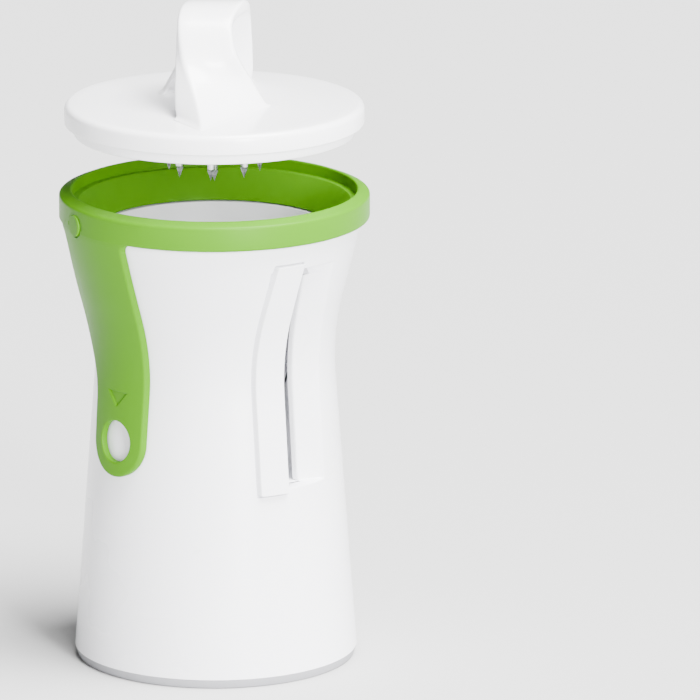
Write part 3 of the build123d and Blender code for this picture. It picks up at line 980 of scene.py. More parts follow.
    def skin(self, draft: Draft) -> None:
        """Add the shell, from the outer face over the rim to the inner face.

        Args:
            draft: the mesh it goes into.
        """
        rows = self.rows()
        top = rows[-1]
        rim_inside = self.rim_radius - self.rim_wall
        rim = rounded_loop(
            (
                (BODY.radius(top), top, 0),
                (BODY.shoulder_radius, BODY.shoulder_height, self.shoulder_round),
                (self.rim_radius, BODY.shoulder_height, 0),
                (self.rim_radius, self.rim_height, self.rim_round),
                (rim_inside, self.rim_height, self.rim_round),
                (rim_inside, BODY.shoulder_height - self.rim_foot, 0),
            )
        )
        ledge = CONE.flange_height
        above = [z for z in reversed(rows) if z > ledge] + [ledge + self.ledge_lip]
        below = [z for z in reversed(rows) if z <= ledge]
        rings = [self.ring(draft, z, z, self.outer) for z in rows]
        rings += [self.ring(draft, z, top, lambda *_, r=r: r) for r, z in rim[1:]]
        rings += [self.ring(draft, z, z, self.inner) for z in above + below]
        self.cover(draft, rings)

    def cover(self, draft: Draft, rings: Sequence[Sequence[int]]) -> None:
        """Join the shell's rings and leave the window open, with walls through its edge.

        Args:
            draft: the mesh they are in.
            rings: the rings, from the outer face's lowest to the inner face's lowest.
        """
        front, _ = self.columns()
        rows = self.rows()
        left, right = nearest(front, self.window_left), nearest(front, self.window_right)
        low, high = nearest(rows, self.window_bottom), nearest(rows, self.window_top)
        last = len(rings) - 1
        count = len(rings[0])
        for r, ring in enumerate(rings):
            after = rings[(r + 1) % len(rings)]
            beside_window = low <= r < high or low <= last - r - 1 < high
            for c in range(count):
                if not (beside_window and left <= c < right):
                    d = (c + 1) % count
                    draft.faces.append((ring[c], ring[d], after[d], after[c]))
        for i in range(low, high):
            outside, inside = (rings[i], rings[i + 1]), (rings[last - i], rings[last - i - 1])
            for c, step in ((left, 1), (right, -1)):
                face = (outside[0][c], inside[0][c], inside[1][c], outside[1][c])
                draft.faces.append(face[::step])
        for c in range(left, right):
            for i, step in ((low, 1), (high, -1)):
                outside, inside = rings[i], rings[last - i]
                face = (outside[c], outside[c + 1], inside[c + 1], inside[c])
                draft.faces.append(face[::step])

    def duct_outside(self, x: float, height: float) -> Place:
        """Place where a wall of the duct ends, inside the housing's wall."""
        return on_front(x, BODY.radius(height) - self.wall / 2 - self.scoop(x, height), height)

    def duct_inside(self, x: float, height: float) -> Place:
        """Place where a wall of the duct ends, at the room of the cone."""
        return on_front(x, CONE.radius(height) + CONE.room, height)

    def duct(self, draft: Draft) -> None:
        """Add the two sides, the floor and the roof of the duct behind the window.

        Args:
            draft: the mesh they go into.
        """
        floor = self.window_bottom - self.duct_floor
        outer_right = self.duct_right + self.duct_wall
        up = spaced(
            (floor, self.window_bottom, 1.0), (self.window_bottom, self.window_top, 4.0)
        )
        walls = (
            (spaced((self.duct_left, self.window_left, 1.0)), up),
            (spaced((self.duct_right, outer_right, 1.1)), up),
            (
                spaced((self.window_left, self.duct_right, 1.5)),
                spaced((floor, self.window_bottom, 1.5)),
            ),
            (
                spaced((self.duct_left, outer_right, 1.5)),
                spaced((self.window_top, CONE.flange_height - self.roof_gap, 1.0)),
            ),
        )
        for columns, rows in walls:
            draft.plate(Sheet.grid(columns, rows), self.duct_outside, self.duct_inside)

    def build(self, paint: Paintshop) -> None:
        """Make the housing and hand it over.

        Args:
            paint: where it gets its finish.
        """
        draft = Draft()
        self.skin(draft)
        self.duct(draft)
        piece = draft.to_object("housing_shell")
        paint.hand_over(piece, Finish.WHITE_BODY, "housing", ["main_body"])


@dataclass
class FootRing:
    """Grey bevelled foot band with its lip inside the body."""

    bevel: float = 0.8
    lip: float = 4.0
    inner_radius: float = 34.6
    wall_gap: float = 2.35

    def build(self, paint: Paintshop) -> None:
        """Make the foot band and hand it over.

        Args:
            paint: where it gets its finish.
        """
        radius, height = BODY.foot_radius, BODY.foot_height
        top = height + self.lip
        draft = Draft()
        draft.lathe(
            (
                (self.inner_radius, 0.0, 0.3),
                (radius - self.bevel, 0.0, 0.5),
                (radius, height, 0.25),
                (radius - self.wall_gap, height, 0),
                (BODY.radius(top) - self.wall_gap, top, 0.3),
                (self.inner_radius, top, 0.3),
            )
        )
        paint.hand_over(draft.to_object("foot_band"), Finish.GREY_FOOT, "housing", ["foot_ring"])


@dataclass
class CombCartridge:
    """White strip beside the outlet with the web and pad that carry the comb."""

    proud: float = 1.2
    sunk: float = 1.6
    edge_round: float = 0.25
    web_left: float = -9.2
    web_thickness: float = 1.8
    web_bottom: float = 58.0
    web_top: float = 111.0
    pad_right: float = -3.6
    pad_thickness: float = 1.5
    comb_gap: float = 1.1  # from the cone to the pad, where the comb plate lies

    def strip_outside(self, x: float, z: float) -> Place:
        """Place on the strip's face, its edges rounded."""
        drop = edge_drop(-STRIP.distance(x, z), self.edge_round)
        return on_front(x, BODY.radius(z) + self.proud - drop, z)

    def strip_inside(self, x: float, z: float) -> Place:
        """Place on the strip's back, in the recess."""
        return on_front(x, BODY.radius(z) - self.sunk, z)

    def web_outside(self, x: float, z: float) -> Place:
        """Place on the web's front, inside the strip."""
        return on_front(x, BODY.radius(z) - self.sunk / 2, z)

    def pad_outside(self, x: float, z: float) -> Place:
        """Place on the front of the comb's pad."""
        return on_front(x, CONE.radius(z) + self.comb_gap + self.pad_thickness, z)

    def cone_side(self, x: float, z: float) -> Place:
        """Place on the flat back of the web and the pad, which faces the cone."""
        return (x, -CONE.radius(z) - self.comb_gap, z)

    def strip_sheet(self) -> Sheet:
        """Lay out the strip, its rows and columns closest at the edges.

        Returns:
            Its flat mesh.
        """
        shares = spaced((0.0, 0.04, 0.008), (0.04, 0.96, 0.0657), (0.96, 1.0, 0.008))
        low, high, corner = STRIP.bottom, STRIP.top, STRIP.corner
        fine = 1.2 * self.edge_round
        rows = spaced(
            (low, low + fine, 0.06),
            (low + fine, low + corner, 0.1),
            (low + corner, high - corner, 1.2),
            (high - corner, high - fine, 0.1),
            (high - fine, high, 0.06),
        )
        grid = []
        for v in rows:
            reach = max(0.0, corner - min(v - low, high - v))
            left = STRIP.left + corner - math.sqrt(corner**2 - reach**2)
            shift = STRIP.shift(v)
            grid.append([(left + (STRIP.right - left) * share + shift, v) for share in shares])
        return Sheet.rows(grid)

    def build(self, paint: Paintshop) -> None:
        """Make the cartridge and hand it over.

        Args:
            paint: where it gets its finish.
        """
        heights = spaced((self.web_bottom, self.web_top, 2.0))
        web_right = self.web_left + self.web_thickness
        web = Sheet.grid(spaced((self.web_left, web_right, 0.9)), heights)
        pad = Sheet.grid(spaced((web_right, self.pad_right, 0.8)), heights)
        draft = Draft()
        draft.plate(self.strip_sheet(), self.strip_outside, self.strip_inside)
        draft.plate(web, self.web_outside, self.cone_side)
        draft.plate(pad, self.pad_outside, self.cone_side)
        piece = draft.to_object("comb_cartridge")
        paint.hand_over(piece, Finish.WHITE_BODY, "cartridge", ["comb_insert"])


@dataclass
class CollarFrame:
    """Green collar with its funnel and the two legs that hug the waist, one moulding."""

    radius: float = 42.8
    bottom: float = 124.25
    edge: float = 131.0
    top: float = 132.4
    mouth: float = 39.2
    mouth_floor: float = 129.0
    funnel_top: float = 37.4
    sleeve_bottom: float = 120.9
    funnel_bottom: float = 32.14
    sleeve_bottom_radius: float = 37.4
    sleeve_top_radius: float = 38.2
    skirt_radius: float = 40.4
    skirt_top: float = 127.0
    edge_round: float = 0.9
    mouth_round: float = 0.5
    foot_round: float = 0.7
    leg_gap: float = 0.3
    leg_thickness: float = 1.8
    leg_round: float = 0.7
    leg_top: float = 129.9
    cover: float = 0.03  # how far the leg's face stands over the collar's band
    cover_blend: float = 0.25
    hole_height: float = 66.4
    hole_radius: float = 5.75
    hole_round: float = 0.45
    tip_radius: float = 9.9
    root_front: float = -8.9
    root_back: float = 19.4
    root_round: float = 2.5
    wing: float = 4.0
    neck_front: float = -10.0
    neck_height: float = 83.0
    shank_back: float = 10.2
    shank_height: float = 76.0
    flare_back: float = 20.4
    flare_height: float = 108.0
    arrow_width: float = 7.9
    arrow_height: float = 4.4
    arrow_bottom: float = 76.1
    arrow_depth: float = 0.4
    arrow_wall: float = 0.25
    arrow_margin: float = 0.4
    stud_radius: float = 3.0
    stud_turn: float = 14.0
    stud_height: float = 126.2
    stud_proud: float = 0.4
    stud_sunk: float = 1.0
    stud_round: float = 0.28
    stud_margin: float = 3.6
    stud_reach: float = 15.0  # the leg holds the stud where its back edge is beyond this
    groove_width: float = 0.45
    groove_depth: float = 0.5
    groove_wall: float = 0.15
    row_blend: float = 12.0  # height over which the columns spread out to the stud
    side_steps: int = 12  # steps of the sheet round the hole, down each side
    tip_steps: int = 72  # and round the tip

    @property
    def root_low(self) -> float:
        """Height where the roots' roundings start."""
        return self.bottom - self.root_round

    @property
    def ring_top(self) -> float:
        """Height where the sheet round the hole gives way to the leg's rows."""
        return self.hole_height + self.tip_radius - 1.5

    @property
    def arrow_top(self) -> float:
        """Height just above the arrow."""
        return self.arrow_bottom + self.arrow_height + self.arrow_margin

    @property
    def stud_place(self) -> float:
        """Place of the stud along the side view."""
        return self.radius * math.sin(math.radians(self.stud_turn))

    def tip_reach(self, z: float) -> float:
        """Half the width of the round tip at a height."""
        return math.sqrt(max(self.tip_radius**2 - (z - self.hole_height) ** 2, 0.0))

    def root_reach(self, z: float) -> float:
        """How far the root's rounding still reaches in at a height."""
        reach = min(z - self.root_low, self.root_round)
        return math.sqrt(self.root_round**2 - reach**2)

    def front_edge(self, z: float) -> float:
        """Find the front edge of a leg: round tip, straight shank, gentle neck and root.

        Args:
            z: height above the ground.

        Returns:
            The edge's place along the side view.
        """
        shank = (self.hole_height, -self.tip_radius)
        neck = (self.neck_height, self.neck_front)
        root = (self.root_low, self.root_front)
        if z <= shank[0]:
            return -self.tip_reach(z)
        if z <= neck[0]:
            return passage(z, shank, neck)
        if z <= root[0]:
            return passage(z, neck, root, smooth=True)
        return self.root_front - self.root_round + self.root_reach(z)

    def back_edge(self, z: float) -> float:
        """Find the back edge of a leg: round tip, straight shank, flare and root.

        Args:
            z: height above the ground.

        Returns:
            The edge's place along the side view.
        """
        tip = (self.hole_height, self.tip_radius)
        shank = (self.shank_height, self.shank_back)
        flare = (self.flare_height, self.flare_back)
        root = (self.root_low, self.root_back)
        if z <= tip[0]:
            return self.tip_reach(z)
        if z <= shank[0]:
            return passage(z, tip, shank)
        if z <= flare[0]:
            return passage(z, shank, flare, smooth=True)
        if z <= root[0]:
            return passage(z, flare, root, smooth=True)
        return self.root_back + self.root_round - self.root_reach(z)

    def outline(self) -> np.ndarray:
        """Trace the leg's free edges above the tip, and under the collar beside the roots.

        Returns:
            The front and the back line: two lines by corners by two.
        """
        heights = spaced(
            (self.hole_height, self.root_low, 0.5), (self.root_low, self.bottom, 0.04)
        )
        front = [(self.front_edge(z), z) for z in heights]
        back = [(self.back_edge(z), z) for z in heights]
        front.append((front[-1][0] - self.wing, self.bottom))
        back.append((back[-1][0] + self.wing, self.bottom))
        return np.array([front, back])

    def edge_distance(self, y: float, z: float, outline: np.ndarray) -> float:
        """Find how far a place on the leg is from its free edge.

        Args:
            y: place along the side view.
            z: height above the ground.
            outline: the leg's outline.

        Returns:
            The distance, round the tip or from the nearest stretch of the outline.
        """
        if z <= self.hole_height:
            return max(0.0, self.tip_radius - math.hypot(y, z - self.hole_height))
        starts, ends = outline[:, :-1].reshape(-1, 2), outline[:, 1:].reshape(-1, 2)
        runs = ends - starts
        place = np.array((y, z))
        shares = ((place - starts) * runs).sum(axis=1) / (runs * runs).sum(axis=1)
        closest = starts + runs * np.clip(shares, 0.0, 1.0)[:, None]
        return float(np.min(np.hypot(closest[:, 0] - y, closest[:, 1] - z)))

    def across(self, front: float, back: float) -> list[float]:
        """Place a row's columns, closest at the edges, over the arrow and round the stud.

        Args:
            front: the row's front end.
            back: its back end.

        Returns:
            Places along the side view.
        """
        arrow = self.arrow_width / 2 + self.arrow_margin
        stud = (self.stud_place - self.stud_margin, self.stud_place + self.stud_margin)
        if back <= self.stud_reach:
            stud = (arrow + 1.0, back - 1.6)
        places = (front, front + 0.8, -arrow * 0.9, arrow, *stud, back - 0.8, back)
        shares = (0.0, 0.05, 0.2, 0.55, 0.6, 0.9, 0.95, 1.0)
        steps = (0.0085, 0.025, 0.0085, 0.02, 0.0085, 0.02, 0.0085)
        columns = spaced(*zip(shares, shares[1:], steps))
        return [float(np.interp(share, shares, places)) for share in columns]

    def leg_sheet(self) -> Sheet:
        """Lay out a leg in the side view, with strips beside its roots under the collar.

        Returns:
            Its flat mesh: place along Y, and height.
        """
        arrow_foot = self.arrow_bottom - self.arrow_margin
        heights = spaced(
            (self.ring_top, arrow_foot, 0.2),
            (arrow_foot, self.arrow_top, 0.16),
            (self.arrow_top, self.root_low, 0.8),
            (self.root_low, self.bottom, 0.16),
            (self.bottom, self.bottom + self.leg_round, 0.1),
            (self.bottom + self.leg_round, self.leg_top, 0.2),
        )
        lowest = self.across(self.front_edge(self.ring_top), self.back_edge(self.ring_top))
        rows = []
        for z in heights:
            ends = (self.front_edge(z), self.back_edge(z))
            share = ease((z - self.arrow_top) / self.row_blend)
            squeezed = np.interp(lowest, (lowest[0], lowest[-1]), ends)
            pairs = zip((float(a) for a in squeezed), self.across(*ends))
            rows.append([(a + (b - a) * share, z) for a, b in pairs])
        wings = [z for z in heights if z >= self.bottom - TINY]
        runs = spaced((0.0, self.wing, 0.4))
        front, back = self.front_edge(self.bottom), self.back_edge(self.bottom)
        left = Sheet.rows([[(front - run, z) for run in reversed(runs)] for z in wings])
        right = Sheet.rows([[(back + run, z) for run in runs] for z in wings])
        return Sheet.rows(rows).join(left).join(right).join(self.eye_sheet(rows[0]))

    def eye_sheet(self, top_row: Sequence[Flat]) -> Sheet:
        """Lay out the leg round its hole.

        Args:
            top_row: the leg's first row, which this sheet meets.

        Returns:
            Its flat mesh.
        """
        fall = self.ring_top - self.hole_height
        sides = [
            self.ring_top - fall * i / self.side_steps for i in range(1, self.side_steps + 1)
        ]
        rim = [(y, z) for y, z in reversed(top_row)]
        rim += [(self.front_edge(z), z) for z in sides]
        for i in range(1, self.tip_steps):
            turn = math.pi + math.pi * i / self.tip_steps
            rise = self.tip_radius * math.sin(turn)
            rim.append((self.tip_radius * math.cos(turn), self.hole_height + rise))
        rim += [(self.back_edge(z), z) for z in reversed(sides)]
        rows = []
        for share in spaced((0.0, 0.14, 0.028), (0.14, 0.8, 0.11), (0.8, 1.0, 0.028)):
            row = []
            for y, z in rim:
                turn = math.atan2(z - self.hole_height, y)
                hole_y = self.hole_radius * math.cos(turn)
                hole_z = self.hole_height + self.hole_radius * math.sin(turn)
                row.append((hole_y + (y - hole_y) * share, hole_z + (z - hole_z) * share))
            rows.append([*row, row[0]][::-1])
        return Sheet.rows(rows)

    def arrow(self, y: float, z: float) -> float:
        """Find the depth of the engraved triangle.

        Args:
            y: place along the side view.
            z: height above the ground.

        Returns:
            The depth there, 0 outside the triangle.
        """
        high = self.arrow_bottom + self.arrow_height - z
        slope = self.arrow_height / (self.arrow_width / 2)
        side = (z - self.arrow_bottom - abs(y) * slope) / math.hypot(1, slope)
        return self.arrow_depth * clamp(min(high, side) / self.arrow_wall)

    def groove(self, y: float, z: float) -> float:
        """Depth of the groove round the stud at a place."""
        away = abs(math.hypot(y - self.stud_place, z - self.stud_height) - self.stud_radius)
        return self.groove_depth * clamp((self.groove_width - away) / self.groove_wall)

    def leg_face(self, y: float, z: float, outline: np.ndarray) -> float:
        """Find the radius of a leg's face, which runs into the collar's band.

        Args:
            y: place along the side view.
            z: height above the ground.
            outline: the leg's outline.

        Returns:
            The radius, less the rounded edges, the arrow and the groove.
        """
        hole = math.hypot(y, z - self.hole_height) - self.hole_radius
        drop = edge_drop(self.edge_distance(y, z, outline), self.leg_round)
        drop += edge_drop(hole, self.hole_round)
        thick = self.leg_gap + self.leg_thickness
        above = max(0.0, z - BODY.shoulder_height)
        line = BODY.radius(min(z, BODY.shoulder_height)) + thick + above
        line = -soft_max(-line, -self.radius, self.cover_blend)
        return line - drop - self.arrow(y, z) - self.groove(y, z)

    def leg_back(self, z: float) -> float:
        """Radius of a leg's back, a gap away from the housing."""
        return BODY.radius(min(z, self.bottom)) + self.leg_gap

    def leg(self, draft: Draft, side: int) -> None:
        """Add one leg.

        Args:
            draft: the mesh it goes into.
            side: -1 for the left one, 1 for the right one.
        """
        outline = self.outline()
        sheet = self.leg_sheet()
        if side < 0:
            sheet = Sheet(sheet.points, [face[::-1] for face in sheet.faces])
        draft.plate(
            sheet,
            lambda y, z: on_side(y, self.leg_face(y, z, outline), z, side),
            lambda y, z: on_side(y, self.leg_back(z), z, side),
        )

    def on_collar(self, point: Place, side: int) -> Place:
        """Carry a point of a stud to the side of the collar.

        Args:
            point: the point, with the stud on the Z axis.
            side: -1 for the left stud, 1 for the right one.

        Returns:
            Its place, with the stud square to the collar.
        """
        turn = math.radians(self.stud_turn)
        out = Vector((side * math.cos(turn), math.sin(turn), 0))
        beside = Vector((0, 0, 1)).cross(out)
        x, y, z = point
        lift = Vector((0, 0, self.stud_height + y))
        return tuple(out * (self.radius + z) + beside * x + lift)

    def studs(self, draft: Draft) -> None:
        """Add the two round studs.

        Args:
            draft: the mesh they go into.
        """
        stud = Draft()
        stud.lathe(
            (
                (0.0, -self.stud_sunk, 0),
                (self.stud_radius, -self.stud_sunk, 0),
                (self.stud_radius, self.stud_proud, self.stud_round),
                (0.0, self.stud_proud, 0),
            ),
            segments=64,
        )
        for side in (-1, 1):
            draft.absorb(stud, lambda point, side=side: self.on_collar(point, side))

    def build(self, paint: Paintshop) -> None:
        """Make the frame and its studs and hand them over.

        Args:
            paint: where they get their finish.
        """
        band = self.radius - self.cover
        draft = Draft()
        draft.lathe(
            (
                (self.skirt_radius, self.bottom, 0.2),
                (band, self.bottom, self.foot_round),
                (band, self.edge, self.edge_round),
                (self.mouth, self.top, self.mouth_round),
                (self.mouth, self.mouth_floor, 0.2),
                (self.funnel_top, self.mouth_floor, 0.3),
                (self.funnel_bottom, self.sleeve_bottom, 0.3),
                (self.sleeve_bottom_radius, self.sleeve_bottom, 0.3),
                (self.sleeve_top_radius, self.skirt_top, 0),
                (self.skirt_radius, self.skirt_top, 0),
            ),
            segments=320,
        )
        for side in (-1, 1):
            self.leg(draft, side)
        frame = draft.to_object("collar_with_legs", 50.0)
        paint.hand_over(frame, Finish.GREEN_COLLAR, "housing", ["collar_frame"])
        caps = Draft()
        self.studs(caps)
        nodes = ["collar_stud_left", "collar_stud_right"]
        paint.hand_over(caps.to_object("collar_studs"), Finish.GREEN_COLLAR, "housing", nodes)


@dataclass
class TwistLid:
    """White lid disc and the twisted ribbon handle that turns it."""

    radius: float = 41.2
    bottom: float = 150.7
    edge_height: float = 5.6
    edge_lift: float = 0.02
    crown_height: float = 1.4
    crown_start: float = 0.9  # share of the radius where the flat rise to the middle starts
    edge_round: float = 1.8
    skirt: float = 2.1
    roof: float = 2.2
    handle_turn: float = -40.5
    handle_height: float = 28.3
    band: float = 16.4
    thickness: float = 3.6
    foot_out: float = 24.0
    sunk: float = 1.4
    reach: float = 12.5
    spring: float = 16.3
    corner_round: float = 1.1
    corner_share: float = 0.42  # most of a side's length that one rounding takes
    corner_steps: int = 4
    side_steps: int = 8
    flare: float = 1.1

    @property
    def edge(self) -> float:
        """Height of the disc's upper edge."""
        return self.bottom + self.edge_height

    def top(self, radius: float) -> float:
        """Height of the domed line on which the disc's upper face has its corners."""
        return self.edge + self.crown_height * (1 - (radius / self.radius) ** 2)

    def stations(self) -> list[tuple[float, float, float, tuple[Flat, ...]]]:
        """List the handle's sections, from one foot over the crown to the other.

        Returns:
            Of each its distance out, its height over the edge, the pitch of the path, and its
            corners as inner left, outer left, outer right and inner right.
        """
        half, thick = self.band / 2, self.thickness / 2
        rise = self.handle_height - thick - self.spring
        slant = math.sin(math.radians(45))
        foot = ((-9.5, -1.5), (-3.2, -15.4), (16.4, 16.0), (15.2, 19.5))
        ankle = ((-11.0, -1.2), (-3.9, -10.0), (13.4, 10.2), (12.6, 13.8))
        calf = ((-11.1, -0.4), (-6.2, -5.2), (9.7, 4.4), (9.3, 8.0))
        knee = ((-10.8, 0.2), (-8.8, -3.0), (6.3, -thick), (6.3, thick))
        left, right = -half - 1.8, half - 3.1
        shoulder = ((left, thick), (left, -thick), (right, -thick), (right, thick))
        near = [
            (self.foot_out, -self.sunk, 0.0, foot),
            (self.foot_out - 4.0, 3.3, 0.0, ankle),
            (self.foot_out - 8.0, 9.8, 0.0, calf),
            (self.reach, self.spring, 0.0, knee),
            (self.reach * slant, self.spring + rise * slant, 45.0, shoulder),
        ]
        straight = ((-half, thick), (-half, -thick), (half, -thick), (half, thick))
        crown = (0.0, self.spring + rise, 90.0, straight)
        far = [
            (-out, height, 180 - pitch, tuple((-x, y) for x, y in reversed(corners)))
            for out, height, pitch, corners in reversed(near)
        ]
        return [*near, crown, *far]

    def corner_places(self) -> np.ndarray:
        """Place the corners of the handle's sections.

        Returns:
            Their coordinates: stations by corners by three.
        """
        turn = math.radians(self.handle_turn)
        across = Vector((math.cos(turn), math.sin(turn), 0))
        inward = Vector((-math.sin(turn), math.cos(turn), 0))
        rows = []
        for out, height, pitch, corners in self.stations():
            centre = inward * -out + Vector((0, 0, self.edge + height))
            tilt = math.radians(pitch)
            second = inward * math.cos(tilt) + Vector((0, 0, -math.sin(tilt)))
            rows.append([centre + across * x + second * y for x, y in corners])
        return np.array(rows)

    def section_ring(self, corners: Sequence[Vector]) -> list[Vector]:
        """Round the corners of one section and divide its sides.

        Args:
            corners: the section's corners in order.

        Returns:
            The points round it.
        """
        ring = []
        for i, corner in enumerate(corners):
            before, after = corners[i - 1], corners[(i + 1) % len(corners)]
            lengths = ((before - corner).length, (after - corner).length)
            cuts = [min(self.corner_round, length * self.corner_share) for length in lengths]
            start = corner + (before - corner).normalized() * cuts[0]
            end = corner + (after - corner).normalized() * cuts[1]
            for step in range(self.corner_steps + 1):
                t = step / self.corner_steps
                ring.append(start * (1 - t) ** 2 + corner * 2 * t * (1 - t) + end * t**2)
            side_end = after + (corner - after).normalized() * cuts[1]
            ring += [end.lerp(side_end, k / self.side_steps) for k in range(1, self.side_steps)]
        return ring

    def flared(self, point: Vector, middle: Vector) -> Vector:
        """Push a point of the handle outwards close to the disc, as a moulded fillet does.

        Args:
            point: the point on the handle.
            middle: middle of its section.

        Returns:
            The point after the push.
        """
        above = point.z - self.top(math.hypot(point.x, point.y))
        push = edge_drop(above, self.flare)
        out = Vector((point.x - middle.x, point.y - middle.y, 0))
        if push <= 0 or out.length < TINY:
            return point
        return point + out.normalized() * push

    def handle(self, draft: Draft) -> None:
        """Add the handle: a smooth run through the stations, its base flared to the disc.

        Args:
            draft: the mesh it goes into.
        """
        places = self.corner_places()
        count, corner_count, _ = places.shape
        knots = np.arange(count, dtype=float)
        last = float(count - 1)
        steps = np.array(
            spaced((0.0, 1.0, 1 / 28), (1.0, last - 1.0, 1 / 12), (last - 1.0, last, 1 / 28))
        )
        smooth = natural_spline(knots, places.reshape(count, -1), steps)
        rings = []
        for row in smooth.reshape(len(steps), corner_count, 3):
            corners = [Vector(corner) for corner in row]
            middle = sum(corners, Vector()) / corner_count
            ring = self.section_ring(corners)
            rings.append(draft.add(tuple(self.flared(point, middle)) for point in ring))
        for ring, following in zip(rings, rings[1:]):
            draft.band(ring, following)
        draft.faces.append(tuple(reversed(rings[0])))
        draft.faces.append(tuple(rings[-1]))

    def build(self, paint: Paintshop) -> None:
        """Make the lid and hand it over.

        Args:
            paint: where it gets its finish.
        """
        inside, roof = self.radius - self.skirt, self.edge - self.roof
        crown = self.radius * self.crown_start
        draft = Draft()
        draft.lathe(
            (
                (inside, self.bottom, 0.4),
                (self.radius, self.bottom, 0.5),
                (self.radius, self.edge + self.edge_lift, self.edge_round),
                (crown, self.top(crown), 0),
                (0.0, self.top(0.0), 0),
                (0.0, roof, 0),
                (inside, roof, 0.4),
            ),
            segments=320,
        )
        self.handle(draft)
        paint.hand_over(draft.to_object("twist_lid", 50.0), Finish.WHITE_LID, "lid_body", ["lid"])


@dataclass
class GuideRing:
    """Stepped ring under the disc, which seats in the collar's mouth."""

    radius: float = 38.7
    drop: float = 3.0
    wall: float = 2.6
    web_bottom: float = 152.4
    web_top: float = 153.8
    bore: float = 17.3

    def build(self, paint: Paintshop, lid: TwistLid) -> None:
        """Make the ring and hand it over.

        Args:
            paint: where it gets its finish.
            lid: the lid it hangs under.
        """
        low = lid.bottom - self.drop
        draft = Draft()
        draft.lathe(
            (
                (self.radius - self.wall, low, 0.5),
                (self.radius, low, 0.6),
                (self.radius, self.web_top, 0.2),
                (self.bore, self.web_top, 0.1),
                (self.bore, self.web_bottom, 0.1),
                (self.radius - self.wall, self.web_bottom, 0.3),
            ),
            segments=320,
        )
        piece = draft.to_object("stepped_ring")
        paint.hand_over(piece, Finish.WHITE_LID, "lid_guide", ["guide_ring"])


class RingOfPins:
    """Geometry Nodes tree that sets copies of a pin round a circle."""

    def __init__(self, name: str) -> None:
        """Build the node group.

        Args:
            name: name of the group.
        """
        self.group = bpy.data.node_groups.new(name, "GeometryNodeTree")
        face = self.group.interface
        face.new_socket("Geometry", in_out="INPUT", socket_type="NodeSocketGeometry")
        self.sockets = {
            label: face.new_socket(label, in_out="INPUT", socket_type=kind).identifier
            for label, kind in (
                ("Count", "NodeSocketInt"),
                ("Circle", "NodeSocketFloat"),
                ("Material", "NodeSocketMaterial"),
            )
        }
        face.new_socket("Geometry", in_out="OUTPUT", socket_type="NodeSocketGeometry")
        nodes, links = self.group.nodes, self.group.links
        start = nodes.new("NodeGroupInput")
        circle = nodes.new("GeometryNodeMeshCircle")
        place = nodes.new("GeometryNodeInstanceOnPoints")
        solid = nodes.new("GeometryNodeRealizeInstances")
        paint = nodes.new("GeometryNodeSetMaterial")
        end = nodes.new("NodeGroupOutput")
        links.new(start.outputs["Count"], circle.inputs["Vertices"])
        links.new(start.outputs["Circle"], circle.inputs["Radius"])
        links.new(circle.outputs["Mesh"], place.inputs["Points"])
        links.new(start.outputs["Geometry"], place.inputs["Instance"])
        links.new(place.outputs["Instances"], solid.inputs["Geometry"])
        links.new(solid.outputs["Geometry"], paint.inputs["Geometry"])
        links.new(start.outputs["Material"], paint.inputs["Material"])
        links.new(paint.outputs["Geometry"], end.inputs["Geometry"])

    def apply(
        self, pin: bpy.types.Object, count: int, radius: float, material: bpy.types.Material
    ) -> None:
        """Replace a pin's mesh by the whole ring.

        Args:
            pin: object whose mesh is one pin on the Z axis.
            count: pins on the circle.
            radius: radius of the circle, in metres.
            material: material of the result.
        """
        modifier = pin.modifiers.new("ring", "NODES")
        values = {"Count": count, "Circle": radius, "Material": material}
        for label, value in values.items():
            modifier[self.sockets[label]] = value
        modifier.node_group = self.group
        bake(pin)


def bake(piece: bpy.types.Object) -> None:
    """Turn a piece's evaluated geometry into its own mesh and drop the modifiers.

    Args:
        piece: the object with live modifiers.
    """
    shown = piece.evaluated_get(bpy.context.evaluated_depsgraph_get())
    mesh = bpy.data.meshes.new_from_object(shown)
    piece.modifiers.clear()
    piece.data = mesh


@dataclass
class PlungerHub:
    """Round hub under the lid with its ring of steel prongs."""

    flange_radius: float = 20.0
    flange_thickness: float = 2.0
    radius: float = 17.0
    circle: float = 12.5
    count: int = 8
    pin_radius: float = 1.1
    length: float = 13.0
    root: float = 2.3
    point: float = 3.2
    point_round: float = 0.8
    centre_extra: float = 3.0

    def pin(self, bottom: float, length: float) -> Draft:
        """Draft one prong on the axis: a round shank with a long point.

        Args:
            bottom: height of the hub's lower face.
            length: how far the prong stands out of it.

        Returns:
            The prong's mesh.
        """
        tip, root = bottom - length, bottom + self.root
        draft = Draft()
        draft.lathe(
            (
                (0.0, tip, 0),
                (self.pin_radius, tip + self.point, self.point_round),
                (self.pin_radius, root, 0),
                (0.0, root, 0),
            ),
            segments=32,
        )
        return draft

    def build(self, paint: Paintshop) -> None:
        """Make the hub and the prongs and hand them over.

        Args:
            paint: where they get their finish.
        """
        low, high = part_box("prong_hub")
        bottom, top = low[2] / MM, high[2] / MM
        flange = bottom + self.flange_thickness
        hub = Draft()
        hub.lathe(
            (
                (0.0, bottom, 0),
                (self.flange_radius, bottom, 0.5),
                (self.flange_radius, flange, 0.2),
                (self.radius, flange, 0.1),
                (self.radius, top, 0),
                (0.0, top, 0),
            ),
            segments=160,
        )
        paint.hand_over(hub.to_object("hub"), Finish.WHITE_LID, "lid_body", ["prong_hub"])
        ring = self.pin(bottom, self.length).to_object("prong_ring")
        tree = RingOfPins("ring_of_prongs")
        steel = paint.material(Finish.PRONG_STEEL)
        tree.apply(ring, self.count, self.circle * MM, steel)
        nodes = [f"prong_{number}" for number in range(1, self.count + 1)]
        paint.hand_over(ring, Finish.PRONG_STEEL, "lid_body", nodes)
        middle = self.pin(bottom, self.length + self.centre_extra).to_object("middle_prong")
        paint.hand_over(middle, Finish.PRONG_STEEL, "lid_body", ["centre_prong"])


